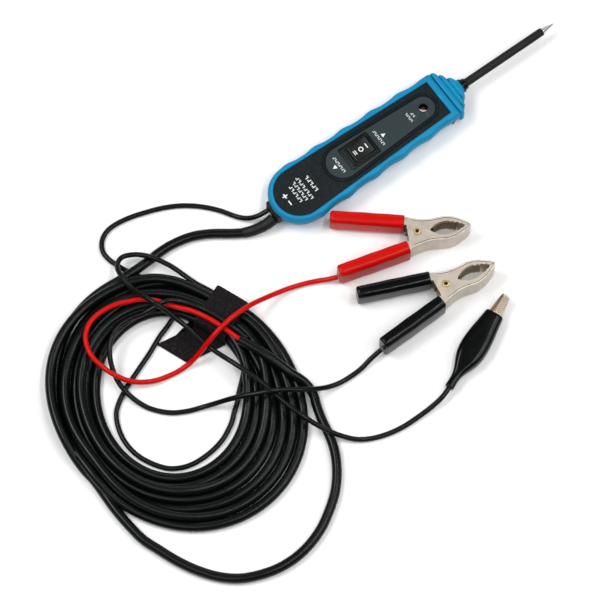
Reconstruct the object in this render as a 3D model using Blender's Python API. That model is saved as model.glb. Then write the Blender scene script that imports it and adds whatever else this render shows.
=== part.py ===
"""Circuit test light: a hand-held 6-24 V tester with a probe, a rocker switch, a two-core supply
cable in a tied coil, two battery clips and a separate ground lead with an alligator clip.

Frame: +X runs along the probe towards its tip, +Z is up, and the tester lies on its back on the
plane Z = 0. The origin is under the middle of the tester. All sizes below are millimetres.
"""
import math

import bmesh
import bpy
from mathutils import Matrix, Vector
from mathutils.geometry import interpolate_bezier

MM = 0.001
GAP = 0.3                       # clearance between two pieces that touch

# ---- tester body -------------------------------------------------------------------------
FLANGE_X = 27.0                 # probe end of the grip
FLANGE_HALF = 19.3              # half width of the flange at the probe end
END_X = -99.0                   # centre of the round end
END_RADIUS = 22.3
BODY_HEIGHT = 19.2              # top of the grip's rim
WAVE_PERIOD = 23.5              # finger waves along both sides
WAVE_HEIGHT = 0.5
WAVE_PEAK_X = -47.5
PANEL_X = 20.5                  # square end of the panel opening
PANEL_HALF = 13.8
PANEL_END_RADIUS = 17.9
PARTING_Z = 10.5                # joint between the two covers
HULL = [(1.5, 2.2), (5.0, 1.4), (9.0, 0.0)]   # height, and how far the sides draw in there
COVER_TOP = 18.4
COVER_WALL = 2.0
FACE_RECESS = 1.0               # depth of the seat for the face plate
FACE_WIDE_X, FACE_WIDE_R = -62.0, 12.0
FACE_SLIM_X, FACE_SLIM_R = 7.5, 8.5
AXIS_Z = 11.2                   # height of the probe's axis
BOSS_PLACES = [(15.2, 6.5), (15.2, -6.5), (-92.0, 10.2), (-92.0, -10.2)]
BOSS_RADIUS = 2.6

# ---- rocker switch -----------------------------------------------------------------------
SWITCH_X = -46.5
BEZEL_HALF = (13.4, 9.2)
SWITCH_HALF = (10.8, 8.0)
ROCKER_HALF_Y = 5.9
ROCKER_PIVOT_Z = 15.5
ROCKER_RADIUS = 9.3             # swing radius of the rocker's end faces
ROCKER_TOP = 5.33               # rocker's raised ends above its pivot
SWITCH_BOTTOM = 6.5

# ---- probe -------------------------------------------------------------------------------
ROD_RADIUS = 2.2
ROD_START_X = 12.8
INSULATION_RADIUS = 2.95
INSULATION_END_X = 112.0
TIP_X = 122.5

# ---- cords -------------------------------------------------------------------------------
MAIN_RADIUS = 3.4               # two-core supply cable, 6.8 mm over its jacket
LEAD_RADIUS = 1.8               # single leads, 3.6 mm
CORD_EXIT_X = -123.5
GROMMET_X = (-122.5, -111.8)    # from outside the round end to inside the covers
COIL_CENTRE = (-254.0, -69.0)
COIL_OUTER = ((-253.8, -71.5), 101.2, 82.2, 95.0)   # centre, long and short half axes, turn
COIL_INNER = ((-254.0, -64.0), 57.2, 47.6, 64.7)
COIL_HEIGHT = 14.0
COIL_ROUND = 5.5
STRAP_PLACE = (-193.5, -38.7)
STRAP_TURN = 21.7               # direction from the coil's middle out through the strap
STRAP_HALF = 12.5
STRAP_THICK = 1.4
STRAP_TAIL_LEAN = 0.6           # the tail lies askew, this much sideways for each unit of length

# ---- battery clips: x towards the jaws' tip, y across, z up; the rivet at the origin -------
CLIP_PLATE = 1.0                # sheet thickness
CLIP_LOW, CLIP_HIGH = 1.0, 19.0
CLIP_NEST = 1.3                 # the moving half lies this much inside the fixed half
HANDLE_SLOPE = 12.3
HANDLE_LENGTH = 49.0
HANDLE_HALF = 3.1
CLIPS = {"red": ((-51.0, -71.6), -27.6), "black": ((-58.0, -114.1), -11.1)}
# ---- alligator clip ------------------------------------------------------------------------
GATOR_TAIL = (-98.5, -172.5)
GATOR_TURN = 22.8
GATOR_PIVOT = 57.0              # from the boot's tail to the pin
GATOR_Z = 6.2

# ---- routes: where the cords lie, one point every few centimetres ---------------------------
MAIN_LEAD = [
    (CORD_EXIT_X, -2.8, 9.0), (-130, -2.8, 7.6), (-137, -1.0, 5.4), (-144, 2.0, 3.8), (-152, 7.0, 3.5),
    (-164, 15.5, 3.5), (-176, 21.5, 3.5), (-190, 24.6, 3.5), (-202, 25.0, 3.5), (-211, 23.5, 3.5)]
GROUND_FIRST = [
    (CORD_EXIT_X, 4.2, 10.0), (-131, 5.8, 7.6), (-137, 9.6, 4.6), (-142, 16, 2.4), (-149, 27, 1.9),
    (-158, 37, 1.9), (-168, 45, 1.9), (-179, 51, 1.9), (-191, 55.5, 1.9), (-203, 59, 1.9),
    (-215, 60.5, 1.9), (-223, 59, 1.9), (-229, 54.5, 1.9), (-232, 48, 1.9), (-231.5, 41, 1.9),
    (-229.5, 35, 1.9), (-227.5, 29.5, 1.9)]
MAIN_LOOP = [
    (-175.5, -121, 3.5), (-178.5, -129, 3.5), (-181.5, -139, 3.5), (-184, -151, 3.5), (-188, -163, 3.5),
    (-195, -175, 3.5), (-204, -185.5, 3.5), (-215, -194, 3.5), (-229, -202, 3.5), (-246, -207, 3.5),
    (-263, -207.5, 3.5), (-278, -204, 3.5), (-292, -197.5, 3.5), (-303, -188, 3.5), (-312, -176, 3.5),
    (-319, -163, 3.5), (-325, -148, 3.5), (-329, -137, 3.5)]
RED_LEAD = [
    (-196.5, -60, 16.6), (-199, -53, 17.9), (-202, -44, 17.9), (-206, -35, 17.9), (-211, -26, 17.1),
    (-218, -17, 16.3), (-225.5, -6.5, 16.2), (-233.5, 0.5, 16.2), (-241, 4, 16.2), (-248.5, 7, 16.2),
    (-256.5, 8.5, 16.2), (-265, 8.5, 16.2), (-273, 6, 16.2), (-279, 1, 16.2), (-282.5, -5.5, 16.2),
    (-284, -14, 16.4), (-282.5, -23.5, 15.2), (-278.5, -33, 12.3), (-271, -42.5, 8.4), (-259.5, -49, 4.4),
    (-247, -52, 1.9), (-238, -53.2, 2.2), (-230, -53.6, 5.0), (-223, -53.4, 10.2), (-215.5, -52.4, 15.8),
    (-208.5, -51.4, 20.2), (-201, -50.3, 22.3), (-193, -49, 22.3), (-185, -48.2, 20.6), (-178, -47.6, 18.2),
    (-171, -47.2, 14.8), (-164.5, -47.1, 11.2), (-158, -47.3, 8.0), (-151, -47.9, 5.4), (-144, -49, 3.6),
    (-137, -50.8, 2.5), (-130.5, -53.1, 2.2), (-124, -56.3, 3.0), (-118.2, -60, 4.8)]
BLACK_LEAD = [
    (-192.5, -58.5, 16.6), (-195, -51.5, 17.9), (-198, -42.3, 17.9), (-202, -33.2, 17.9),
    (-207, -24.3, 17.6), (-213.5, -17.0, 19.2), (-221, -12.3, 20.9), (-229, -10.5, 18.4),
    (-238, -9.2, 16.6), (-249, -6.5, 16.3), (-259, -7, 16.2), (-267, -12, 16.0), (-273, -19, 14.2),
    (-276.5, -26.5, 10.4), (-278.5, -35, 7.2), (-278.5, -44, 5.9), (-276, -54, 3.6), (-271, -64, 1.9),
    (-262, -74, 1.9), (-252, -80, 1.9), (-242, -84, 2.6), (-232.5, -88.7, 7.0), (-224.5, -93.3, 12.6),
    (-216.5, -98, 16.6), (-209, -102.5, 19.2), (-201.5, -106.6, 20.9), (-194, -110.5, 19.5),
    (-186, -115, 17.0), (-179.5, -118.3, 14.0), (-173, -120.9, 10.0), (-165, -123.2, 5.2),
    (-156, -124.8, 2.4), (-147, -125.4, 1.9), (-138, -125.2, 2.4), (-129, -123.9, 4.4)]
GROUND_INNER = [
    (-226, -21.5, 1.9), (-236, -25, 1.9), (-249, -31, 1.9), (-264, -37, 1.9), (-276, -42, 1.9),
    (-285, -47, 1.9), (-292, -53, 1.9), (-297, -63, 1.9), (-299, -74, 1.9), (-297.5, -86, 1.9),
    (-292, -98, 1.9), (-284.5, -107, 1.9), (-273, -112.5, 1.9), (-259, -113.5, 1.9), (-245, -111, 1.9),
    (-233, -105, 1.9), (-226.5, -99.5, 1.9)]
GROUND_LAST = [
    (-200.5, 8.5, 9.0), (-203.5, 15, 9.3), (-207.5, 22, 9.6), (-212, 28, 9.4), (-218, 33, 9.0),
    (-225, 35.4, 9.4), (-230.5, 32.6, 11.2), (-233.4, 27.5, 13.8), (-234, 22, 16.0), (-234.2, 14, 17.0),
    (-233.5, 7, 18.9), (-231.5, 0, 21.6), (-228.5, -9.5, 23.7), (-225.3, -17, 21.4), (-222, -25.5, 16.8),
    (-219, -34, 14.2), (-217, -43, 12.4), (-215, -52, 11.4), (-212.5, -62, 13.0), (-209.5, -72, 15.6),
    (-206.5, -81, 16.4), (-203, -91, 16.3), (-200, -103, 16.3), (-197, -119, 16.4), (-193.5, -131, 16.4),
    (-189, -141.5, 13.4), (-183.5, -150.5, 9.4), (-177.5, -158, 6.2), (-170.5, -164.5, 3.0),
    (-162, -169.5, 1.9), (-151, -173.5, 1.9), (-139, -175.6, 1.9), (-127, -176.0, 2.2),
    (-116, -176.0, 3.8), (-107, -175.2, 5.5), (-101.5, -173.7, 6.1)]


# ---- scene and materials ---------------------------------------------------------------------
def clear_scene():
    for old in list(bpy.data.objects):
        bpy.data.objects.remove(old)


def material(name, colour, roughness, metallic=0.0):
    made = bpy.data.materials.new(name)
    made.use_nodes = True
    shader = made.node_tree.nodes["Principled BSDF"]
    shader.inputs["Base Color"].default_value = (*colour, 1.0)
    shader.inputs["Roughness"].default_value = roughness
    shader.inputs["Metallic"].default_value = metallic
    made.diffuse_color = (*colour, 1.0)
    return made


clear_scene()
BLUE = material("blue_rubber", (0.01, 0.26, 0.52), 0.5)
CHARCOAL = material("charcoal_plastic", (0.03, 0.032, 0.035), 0.6)
SLATE = material("slate_plastic", (0.05, 0.065, 0.075), 0.55)
BLACK = material("black_plastic", (0.008, 0.008, 0.008), 0.35)
PVC = material("black_pvc", (0.012, 0.012, 0.012), 0.4)
RED = material("red_pvc", (0.75, 0.015, 0.01), 0.35)
STEEL = material("nickel_steel", (0.6, 0.56, 0.5), 0.35, 1.0)
BRASS = material("brass", (0.7, 0.5, 0.22), 0.35, 1.0)
LENS = material("led_lens", (0.12, 0.02, 0.02), 0.1)
BOARD = material("board_green", (0.02, 0.16, 0.06), 0.5)
WEB = material("strap_weave", (0.02, 0.014, 0.014), 0.9)


# ---- outlines: lists of (x, y) running counter-clockwise ---------------------------------------
def arc(centre, radius, start, end, steps):
    points = []
    for i in range(steps + 1):
        angle = math.radians(start + (end - start) * i / steps)
        points.append((centre[0] + radius * math.cos(angle), centre[1] + radius * math.sin(angle)))
    return points


def rounded_box(half_x, half_y, radius, steps=3, centre=(0.0, 0.0)):
    points = []
    for sign_x, sign_y, start in ((1, 1, 0), (-1, 1, 90), (-1, -1, 180), (1, -1, 270)):
        corner = (centre[0] + sign_x * (half_x - radius), centre[1] + sign_y * (half_y - radius))
        points += arc(corner, radius, start, start + 90, steps)
    return points


def box_outline(x0, x1, y0, y1):
    return [(x0, y0), (x1, y0), (x1, y1), (x0, y1)]


def inset(outline, distance):
    """Move every side of a closed counter-clockwise outline inwards by a distance."""
    moved = []
    count = len(outline)
    for i in range(count):
        before, here, after = (Vector(outline[(i + k) % count]) for k in (-1, 0, 1))
        first = (here - before).normalized()
        second = (after - here).normalized()
        normal_a = Vector((-first.y, first.x))
        normal_b = Vector((-second.y, second.x))
        middle = (normal_a + normal_b).normalized()
        moved.append(tuple(here + middle * (distance / max(0.5, middle.dot(normal_a)))))
    return moved


def grip_half_width(x):
    """Half width of the grip at a place along it: a slow taper, finger waves and the flange."""
    along = max(0.0, (x - END_X) / (FLANGE_X - END_X))
    taper = END_RADIUS - 3.3 * along
    wave = WAVE_HEIGHT * math.cos(2 * math.pi * (x - WAVE_PEAK_X) / WAVE_PERIOD)
    rise = min(1.0, max(0.0, (x - 14.0) / 8.0))
    rise = rise * rise * (3 - 2 * rise)
    return (taper + wave) * (1 - rise) + FLANGE_HALF * rise


def grip_outline():
    side_steps = 32
    corner = 2.2
    upper = []
    for i in range(side_steps + 1):
        x = FLANGE_X - corner + (END_X - FLANGE_X + corner) * i / side_steps
        upper.append((x, grip_half_width(x)))
    round_end = arc((END_X, 0), END_RADIUS, 90, 270, 18)[1:-1]
    lower = [(x, -y) for x, y in reversed(upper)]
    flange = [(FLANGE_X, -FLANGE_HALF + corner), (FLANGE_X, FLANGE_HALF - corner)]
    return upper + round_end + lower + flange


def panel_outline(margin=0.0, draw_in=0.0):
    """The panel: square at the probe end, round at the cord end; draw_in leaves the square end."""
    half = PANEL_HALF - margin - draw_in
    corners = [(PANEL_X - margin, -half), (PANEL_X - margin, half)]
    return corners + arc((END_X, 0), PANEL_END_RADIUS - margin - draw_in, 90, 270, 14)


def face_outline(margin=0.0):
    slim = arc((FACE_SLIM_X, 0), FACE_SLIM_R - margin, -90, 90, 10)
    wide = arc((FACE_WIDE_X, 0), FACE_WIDE_R - margin, 90, 270, 12)
    return slim + wide


# ---- solids ------------------------------------------------------------------------------------
def new_object(name, mesh, skin, parent=None, origin=(0.0, 0.0, 0.0)):
    mesh.materials.append(skin)
    made = bpy.data.objects.new(name, mesh)
    bpy.context.scene.collection.objects.link(made)
    made.parent = parent
    made.location = Vector(origin) * MM
    return made


def finish(name, bm, skin, parent=None, origin=(0.0, 0.0, 0.0), sharp=35.0):
    """Turn a bmesh in millimetres into an object in metres whose own origin is at a given place."""
    bmesh.ops.translate(bm, verts=bm.verts, vec=-Vector(origin))
    bmesh.ops.scale(bm, verts=bm.verts, vec=(MM, MM, MM))
    bmesh.ops.recalc_face_normals(bm, faces=bm.faces)
    mesh = bpy.data.meshes.new(name)
    bm.to_mesh(mesh)
    bm.free()
    mesh.shade_smooth()
    mesh.set_sharp_from_angle(angle=math.radians(sharp))
    return new_object(name, mesh, skin, parent, origin)


def loft(rings):
    """One closed solid through a row of closed rings that have the same number of points."""
    bm = bmesh.new()
    rows = [[bm.verts.new(point) for point in ring] for ring in rings]
    count = len(rows[0])
    for low, high in zip(rows, rows[1:]):
        for i in range(count):
            bm.faces.new((low[i], low[(i + 1) % count], high[(i + 1) % count], high[i]))
    bm.faces.new(list(reversed(rows[0])))
    bm.faces.new(rows[-1])
    return bm


def prism(outline, low, high):
    return loft([[(x, y, z) for x, y in outline] for z in (low, high)])


def hull(margin, low, high):
    """A block with the panel's outline whose sides draw in towards the tester's back."""
    levels = [(low, HULL[0][1])] + [(z, depth) for z, depth in HULL if z > low] + [(high, 0.0)]
    return loft([[(x, y, z) for x, y in panel_outline(margin, depth)] for z, depth in levels])


def side_prism(profile, y0, y1):
    """Extrude an (x, z) profile across the tester, along Y."""
    return loft([[(x, y, z) for x, z in profile] for y in (y0, y1)])


def turned(profile, steps, centre=(0.0, 0.0, 0.0), axis="Z", closed=False):
    """Turn (radius, height) points about an axis; a profile that doesn't close is capped."""
    rings = []
    for radius, height in profile:
        ring = []
        for i in range(steps):
            angle = 2 * math.pi * i / steps
            across, up = radius * math.cos(angle), radius * math.sin(angle)
            local = (across, up, height) if axis == "Z" else (height, across, up)
            ring.append(Vector(local) + Vector(centre))
        rings.append(ring)
    if not closed:
        return loft(rings)
    bm = bmesh.new()
    rows = [[bm.verts.new(point) for point in ring] for ring in rings]
    for low, high in zip(rows, rows[1:] + rows[:1]):
        for i in range(steps):
            bm.faces.new((low[i], low[(i + 1) % steps], high[(i + 1) % steps], high[i]))
    return bm


def boolean(target, cutter_bm, operation="DIFFERENCE"):
    """Cut a bmesh, in the target's world millimetres or its parent's, out of a piece or join it on."""
    index = sum(1 for item in bpy.data.objects if item.name.startswith("tool_"))
    tool = finish(f"tool_{index:03d}_{target.name}", cutter_bm, BLACK, target.parent)
    tool.hide_render = True
    tool.display_type = "WIRE"
    modifier = target.modifiers.new(operation.lower(), "BOOLEAN")
    modifier.operation = operation
    modifier.object = tool
    return tool


def smooth_route(points, spacing):
    """Points at even distances on one smooth curve through a route's own points."""
    route = [Vector(p) for p in points]
    count = len(route)
    tangents = []
    for i in range(count):
        before, after = route[max(0, i - 1)], route[min(count - 1, i + 1)]
        tangents.append((after - before).normalized())
    dense = []
    for i in range(count - 1):
        reach = (route[i + 1] - route[i]).length / 3
        dense += interpolate_bezier(
            route[i], route[i] + tangents[i] * reach,
            route[i + 1] - tangents[i + 1] * reach, route[i + 1], 25)[:-1]
    dense.append(route[-1])
    lengths = [0.0]
    for a, b in zip(dense, dense[1:]):
        lengths.append(lengths[-1] + (b - a).length)
    steps = max(2, round(lengths[-1] / spacing))
    even = []
    index = 0
    for i in range(steps + 1):
        want = lengths[-1] * i / steps
        while index < len(dense) - 2 and lengths[index + 1] < want:
            index += 1
        part = (want - lengths[index]) / max(1e-9, lengths[index + 1] - lengths[index])
        even.append(dense[index].lerp(dense[index + 1], min(1.0, part)))
    return even


def cord(name, points, radius, skin, spacing, resolution=2):
    """A plain tube along a route."""
    curve = bpy.data.curves.new(name, "CURVE")
    curve.dimensions = "3D"
    curve.bevel_depth = radius * MM
    curve.bevel_resolution = resolution
    curve.use_fill_caps = True
    curve.render_resolution_u = 0
    even = smooth_route(points, spacing)
    spline = curve.splines.new("POLY")
    spline.points.add(len(even) - 1)
    for target, point in zip(spline.points, even):
        target.co = (*(point * MM), 1.0)
    return new_object(name, curve, skin)


def helix(name, skin, centre, radius, wire, turns, pitch, arms, parent, sides=5, per_turn=9):
    """A torsion spring about Z: a coil with a straight arm at each end, as one tube mesh."""
    path = []
    steps = turns * per_turn
    start, end = (math.atan2(y, x) for x, y in arms)
    sweep = end - start + 2 * math.pi * turns
    for i in range(steps + 1):
        angle = start + math.pi / 2 + (sweep - math.pi) * i / steps
        height = pitch * turns * (i / steps - 0.5)
        path.append(Vector((radius * math.cos(angle), radius * math.sin(angle), height)))
    first = Vector((*arms[0], path[0].z))
    last = Vector((*arms[1], path[-1].z))
    path = [first] + path + [last]
    rings = []
    for i, point in enumerate(path):
        ahead = (path[min(i + 1, len(path) - 1)] - path[max(i - 1, 0)]).normalized()
        side = Vector((0, 0, 1)).cross(ahead).normalized()
        up = ahead.cross(side)
        ring = []
        for k in range(sides):
            angle = 2 * math.pi * k / sides
            ring.append(Vector(centre) + point + (side * math.cos(angle) + up * math.sin(angle)) * wire)
        rings.append(ring)
    return finish(name, loft(rings), skin, parent)


# ---- tester: shells -------------------------------------------------------------------------------
def grip():
    levels = [(0.6, 5.0), (2.0, 4.3), (4.5, 3.1), (8.0, 1.6), (12.0, 0.3), (15.0, 0.0), (17.2, 0.7),
              (18.6, 1.9), (BODY_HEIGHT, 3.0)]
    base = grip_outline()
    rings = [[(x, y, z) for x, y in inset(base, depth)] for z, depth in levels]
    piece = finish("grip", loft(rings), BLUE)
    boolean(piece, hull(0.0, -1.0, 30.0))
    boolean(piece, turned([(ROD_RADIUS + 0.5, 17.0), (ROD_RADIUS + 0.5, 30.0)], 12, (0, 0, AXIS_Z), "X"))
    boolean(piece, prism(rounded_box(8.0, 8.3, 2.0, centre=(-118.0, 0.7)), 5.0, 15.5))


def front_cover():
    piece = finish("front_cover", prism(panel_outline(GAP), PARTING_Z, COVER_TOP), CHARCOAL)
    boolean(piece, prism(panel_outline(GAP + COVER_WALL), 5.0, COVER_TOP - COVER_WALL))
    boolean(piece, prism(face_outline(-GAP), COVER_TOP - FACE_RECESS, 30.0))
    window = box_outline(SWITCH_X - SWITCH_HALF[0] - GAP, SWITCH_X + SWITCH_HALF[0] + GAP,
                         -SWITCH_HALF[1] - GAP, SWITCH_HALF[1] + GAP)
    boolean(piece, prism(window, 15.0, 30.0))
    boolean(piece, turned([(3.65, 15.0), (3.65, 30.0)], 16, (FACE_SLIM_X, 0, 0)))
    for place in BOSS_PLACES:
        boss = turned([(BOSS_RADIUS, 2.4), (BOSS_RADIUS, COVER_TOP - COVER_WALL + 0.4)], 10, (*place, 0))
        boolean(piece, boss, "UNION")
        boolean(piece, turned([(1.6, 2.0), (1.6, 11.0)], 10, (*place, 0)))
    boolean(piece, turned([(ROD_RADIUS + 0.5, 16.0), (ROD_RADIUS + 0.5, 30.0)], 12, (0, 0, AXIS_Z), "X"))
    boolean(piece, prism(box_outline(-125.0, -110.0, -7.9, 9.3), 5.0, 15.8))


def rear_cover():
    piece = finish("rear_cover", hull(GAP, 0.0, PARTING_Z - GAP), CHARCOAL)
    boolean(piece, hull(GAP + COVER_WALL, COVER_WALL, 20.0))
    boolean(piece, turned([(ROD_RADIUS + 0.5, 16.0), (ROD_RADIUS + 0.5, 30.0)], 12, (0, 0, AXIS_Z), "X"))
    boolean(piece, prism(box_outline(-125.0, -110.0, -7.9, 9.3), 4.7, 15.8))
    for place in BOSS_PLACES:
        seat = turned([(3.0, -1.0), (3.0, 1.2), (1.7, 1.2), (1.7, 5.0)], 12, (*place, 0))
        boolean(piece, seat)


def face_plate():
    low = COVER_TOP - FACE_RECESS + GAP
    piece = finish("face_plate", prism(face_outline(), low, COVER_TOP + 0.2), SLATE)
    window = box_outline(SWITCH_X - BEZEL_HALF[0] - GAP, SWITCH_X + BEZEL_HALF[0] + GAP,
                         -BEZEL_HALF[1] - GAP, BEZEL_HALF[1] + GAP)
    boolean(piece, prism(window, 15.0, 30.0))
    boolean(piece, turned([(3.65, 15.0), (3.65, 30.0)], 16, (FACE_SLIM_X, 0, 0)))


def case_screws():
    for i, place in enumerate(BOSS_PLACES):
        profile = [(2.6, 0.25), (2.6, 0.9), (1.3, 0.95), (1.3, 9.0), (0.7, 10.0)]
        finish(f"case_screw_{i + 1}", turned(profile, 10, (*place, 0)), STEEL)


# ---- tester: switch, light and circuit -----------------------------------------------------------
def switch_body():
    centre = (SWITCH_X, 0.0)
    low = COVER_TOP - FACE_RECESS + GAP
    block = rounded_box(*SWITCH_HALF, 0.6, 1, centre)
    piece = finish("switch_body", prism(block, SWITCH_BOTTOM, low + 0.5), BLACK)
    boolean(piece, prism(rounded_box(*BEZEL_HALF, 1.0, 2, centre), low, low + 1.2), "UNION")
    well = box_outline(SWITCH_X - 9.7, SWITCH_X + 9.7, -ROCKER_HALF_Y - 0.4, ROCKER_HALF_Y + 0.4)
    boolean(piece, prism(well, SWITCH_BOTTOM + 1.5, 30.0))
    axle_hole = side_prism(arc((SWITCH_X, ROCKER_PIVOT_Z), 1.4, 360, 36, 9), -7.4, 7.4)
    boolean(piece, axle_hole)


def rocker():
    """Rocker with curved end faces about its axle, which runs across the tester."""
    top = math.degrees(math.asin(ROCKER_TOP / ROCKER_RADIUS))
    pivot = (SWITCH_X, ROCKER_PIVOT_Z)
    right = arc(pivot, ROCKER_RADIUS, -5, top, 4)
    left = arc(pivot, ROCKER_RADIUS, 180 - top, 185, 4)
    dish = [(SWITCH_X + x, ROCKER_PIVOT_Z + z) for x, z in ((4.0, 4.6), (0.0, 4.3), (-4.0, 4.6))]
    under = [(SWITCH_X + x, ROCKER_PIVOT_Z + z)
             for x, z in ((-7.5, -1.5), (-1.6, -1.8), (-1.2, -4.3), (1.2, -4.3), (1.6, -1.8), (7.5, -1.5))]
    profile = right + dish + left + under
    origin = (SWITCH_X, 0.0, ROCKER_PIVOT_Z)
    piece = finish("rocker", side_prism(profile, -ROCKER_HALF_Y, ROCKER_HALF_Y), BLACK, origin=origin)
    axle = side_prism(arc(pivot, 1.0, 360, 36, 9), -7.1, 7.1)
    boolean(piece, axle, "UNION")
    blade = [(SWITCH_X + x, ROCKER_PIVOT_Z + z)
             for x, z in ((-6.6, -5.1), (-6.6, -5.6), (0.0, -5.4), (6.6, -5.6), (6.6, -5.1), (0.0, -4.7))]
    finish("switch_contact", side_prism(blade, -2.2, 2.2), BRASS, origin=origin)


def switch_terminals():
    for i, offset in enumerate((-6.5, 0.0, 6.5)):
        x = SWITCH_X + offset
        tab = prism(box_outline(x - 0.4, x + 0.4, -2.4, 2.4), 2.6, SWITCH_BOTTOM - GAP)
        finish(f"switch_terminal_{i + 1}", tab, BRASS)


def light():
    lens = [(2.9, 9.2), (2.9, 10.2), (2.5, 10.3), (2.5, 15.0), (2.2, 16.3), (1.4, 17.1), (0.5, 17.4)]
    finish("led_lens", turned(lens, 12, (FACE_SLIM_X, 0, 0)), LENS)
    ring = [(2.85, 16.0), (3.35, 16.0), (3.35, 18.7), (3.05, 18.7), (2.85, 18.0)]
    finish("led_holder", turned(ring, 16, (FACE_SLIM_X, 0, 0), closed=True), BLACK)


def circuit():
    board = prism(box_outline(-30.0, 11.8, -10.5, 10.5), 6.8, 8.4)
    finish("circuit_board", board, BOARD)
    for i, y in enumerate((-6.5, 6.5)):
        barrel = [(0.4, -7.0), (0.4, -3.4), (1.2, -3.0), (1.0, -1.6), (1.0, 1.6), (1.2, 3.0), (0.4, 3.4),
                  (0.4, 7.0)]
        finish(f"limit_resistor_{i + 1}", turned(barrel, 8, (-16.0, y, 10.0), "X"), BRASS)


# ---- tester: probe -------------------------------------------------------------------------------
def nose():
    """Blue nose cap that steps down in three tiers from the flange to the probe."""
    steps = [(27.3, 19.0, 8.9), (29.6, 18.5, 8.7), (31.2, 16.4, 8.2), (31.9, 14.2, 7.7), (33.6, 12.8, 7.4),
             (34.9, 10.6, 7.0), (35.4, 8.8, 6.5), (37.2, 8.0, 6.3), (39.0, 6.8, 5.8), (40.0, 5.2, 5.0)]
    rings = []
    for x, half_y, half_z in steps:
        corner = min(half_y, half_z) * 0.62
        outline = rounded_box(half_y, half_z, corner, 4)
        centre_z = AXIS_Z - 0.3 * (half_z - 5.0)
        rings.append([(x, y, centre_z + z) for y, z in outline])
    piece = finish("nose_cap", loft(rings), BLUE)
    boolean(piece, turned([(ROD_RADIUS + 0.5, 20.0), (ROD_RADIUS + 0.5, 45.0)], 12, (0, 0, AXIS_Z), "X"))


def probe():
    axis = (0, 0, AXIS_Z)
    bore = ROD_RADIUS + 0.35
    collar = [(5.0, 40.3), (5.0, 41.6), (3.7, 44.8), (INSULATION_RADIUS + GAP, 44.8),
              (INSULATION_RADIUS + GAP, 40.3)]
    finish("probe_collar", turned(collar, 16, axis, "X", closed=True), BLACK)
    sleeve = [(INSULATION_RADIUS, 40.4), (INSULATION_RADIUS, INSULATION_END_X), (bore, INSULATION_END_X),
              (bore, 40.4)]
    finish("probe_insulation", turned(sleeve, 14, axis, "X", closed=True), PVC)
    rod = [(ROD_RADIUS, ROD_START_X), (ROD_RADIUS, INSULATION_END_X + 0.6), (1.95, 113.6), (0.9, 119.6),
           (0.12, TIP_X)]
    finish("probe_rod", turned(rod, 12, axis, "X"), STEEL)
    base = prism(box_outline(13.2, 17.6, -3.6, 3.6), AXIS_Z - 4.2, AXIS_Z + 4.2)
    block = finish("probe_terminal", base, BRASS)
    boolean(block, turned([(bore, 10.0), (bore, 20.0)], 12, axis, "X"))


# ---- tester: cord entry --------------------------------------------------------------------------
def cord_entry():
    half_x = (GROMMET_X[1] - GROMMET_X[0]) / 2
    block = rounded_box(half_x, 7.6, 1.6, centre=(GROMMET_X[0] + half_x, 0.7))
    finish("cord_grommet", prism(block, 5.3, 15.2), BLACK)
    bar = prism(rounded_box(2.2, 11.0, 1.0, 2, centre=(-104.0, 0.0)), 6.4, 9.0)
    bar = finish("cord_clamp", bar, CHARCOAL)
    for i, y in enumerate((-8.4, 8.4)):
        boolean(bar, turned([(1.4, 5.0), (1.4, 12.0)], 10, (-104.0, y, 0)))
        screw = [(1.1, 2.3), (1.1, 9.3), (2.0, 9.3), (2.0, 10.3)]
        finish(f"clamp_screw_{i + 1}", turned(screw, 10, (-104.0, y, 0)), STEEL)


def inner_wires():
    routes = {
        "inner_wire_red": [(-111, -4, 11), (-103, -4, 11.5), (-85, -6, 8), (-64, -4, 5), (-54.2, 0, 3.8)],
        "inner_wire_black": [(-111, 0, 12.5), (-103, 1, 13.2), (-88, 3.5, 9), (-66, 4.5, 5.5), (-44, 5.6, 4),
                             (-33, 6, 4.2), (-27, 8, 4.8)],
        "inner_wire_ground": [(-111, 4.8, 11), (-103, 4.8, 11.5), (-84, 7.0, 8), (-60, 9.6, 5),
                              (-20, 9.6, 5), (4, 6, 4.2), (12.6, 3, 5.8)]}
    for name, route in routes.items():
        cord(name, route, 0.9, RED if name.endswith("red") else PVC, 7.0)


# ---- supply cable, leads and strap --------------------------------------------------------------
def ellipse_reach(shape, angle):
    """Distance from the coil's centre to an ellipse's edge in a given direction."""
    (centre_x, centre_y), long_half, short_half, turn = shape
    turn = math.radians(turn)
    direction = Vector((math.cos(angle), math.sin(angle)))
    offset = Vector(COIL_CENTRE) - Vector((centre_x, centre_y))

    def local(v):
        along = v.x * math.cos(turn) + v.y * math.sin(turn)
        across = -v.x * math.sin(turn) + v.y * math.cos(turn)
        return Vector((along / long_half, across / short_half))

    d, o = local(direction), local(offset)
    a, b, c = d.dot(d), 2 * d.dot(o), o.dot(o) - 1
    return (-b + math.sqrt(b * b - 4 * a * c)) / (2 * a)


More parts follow.
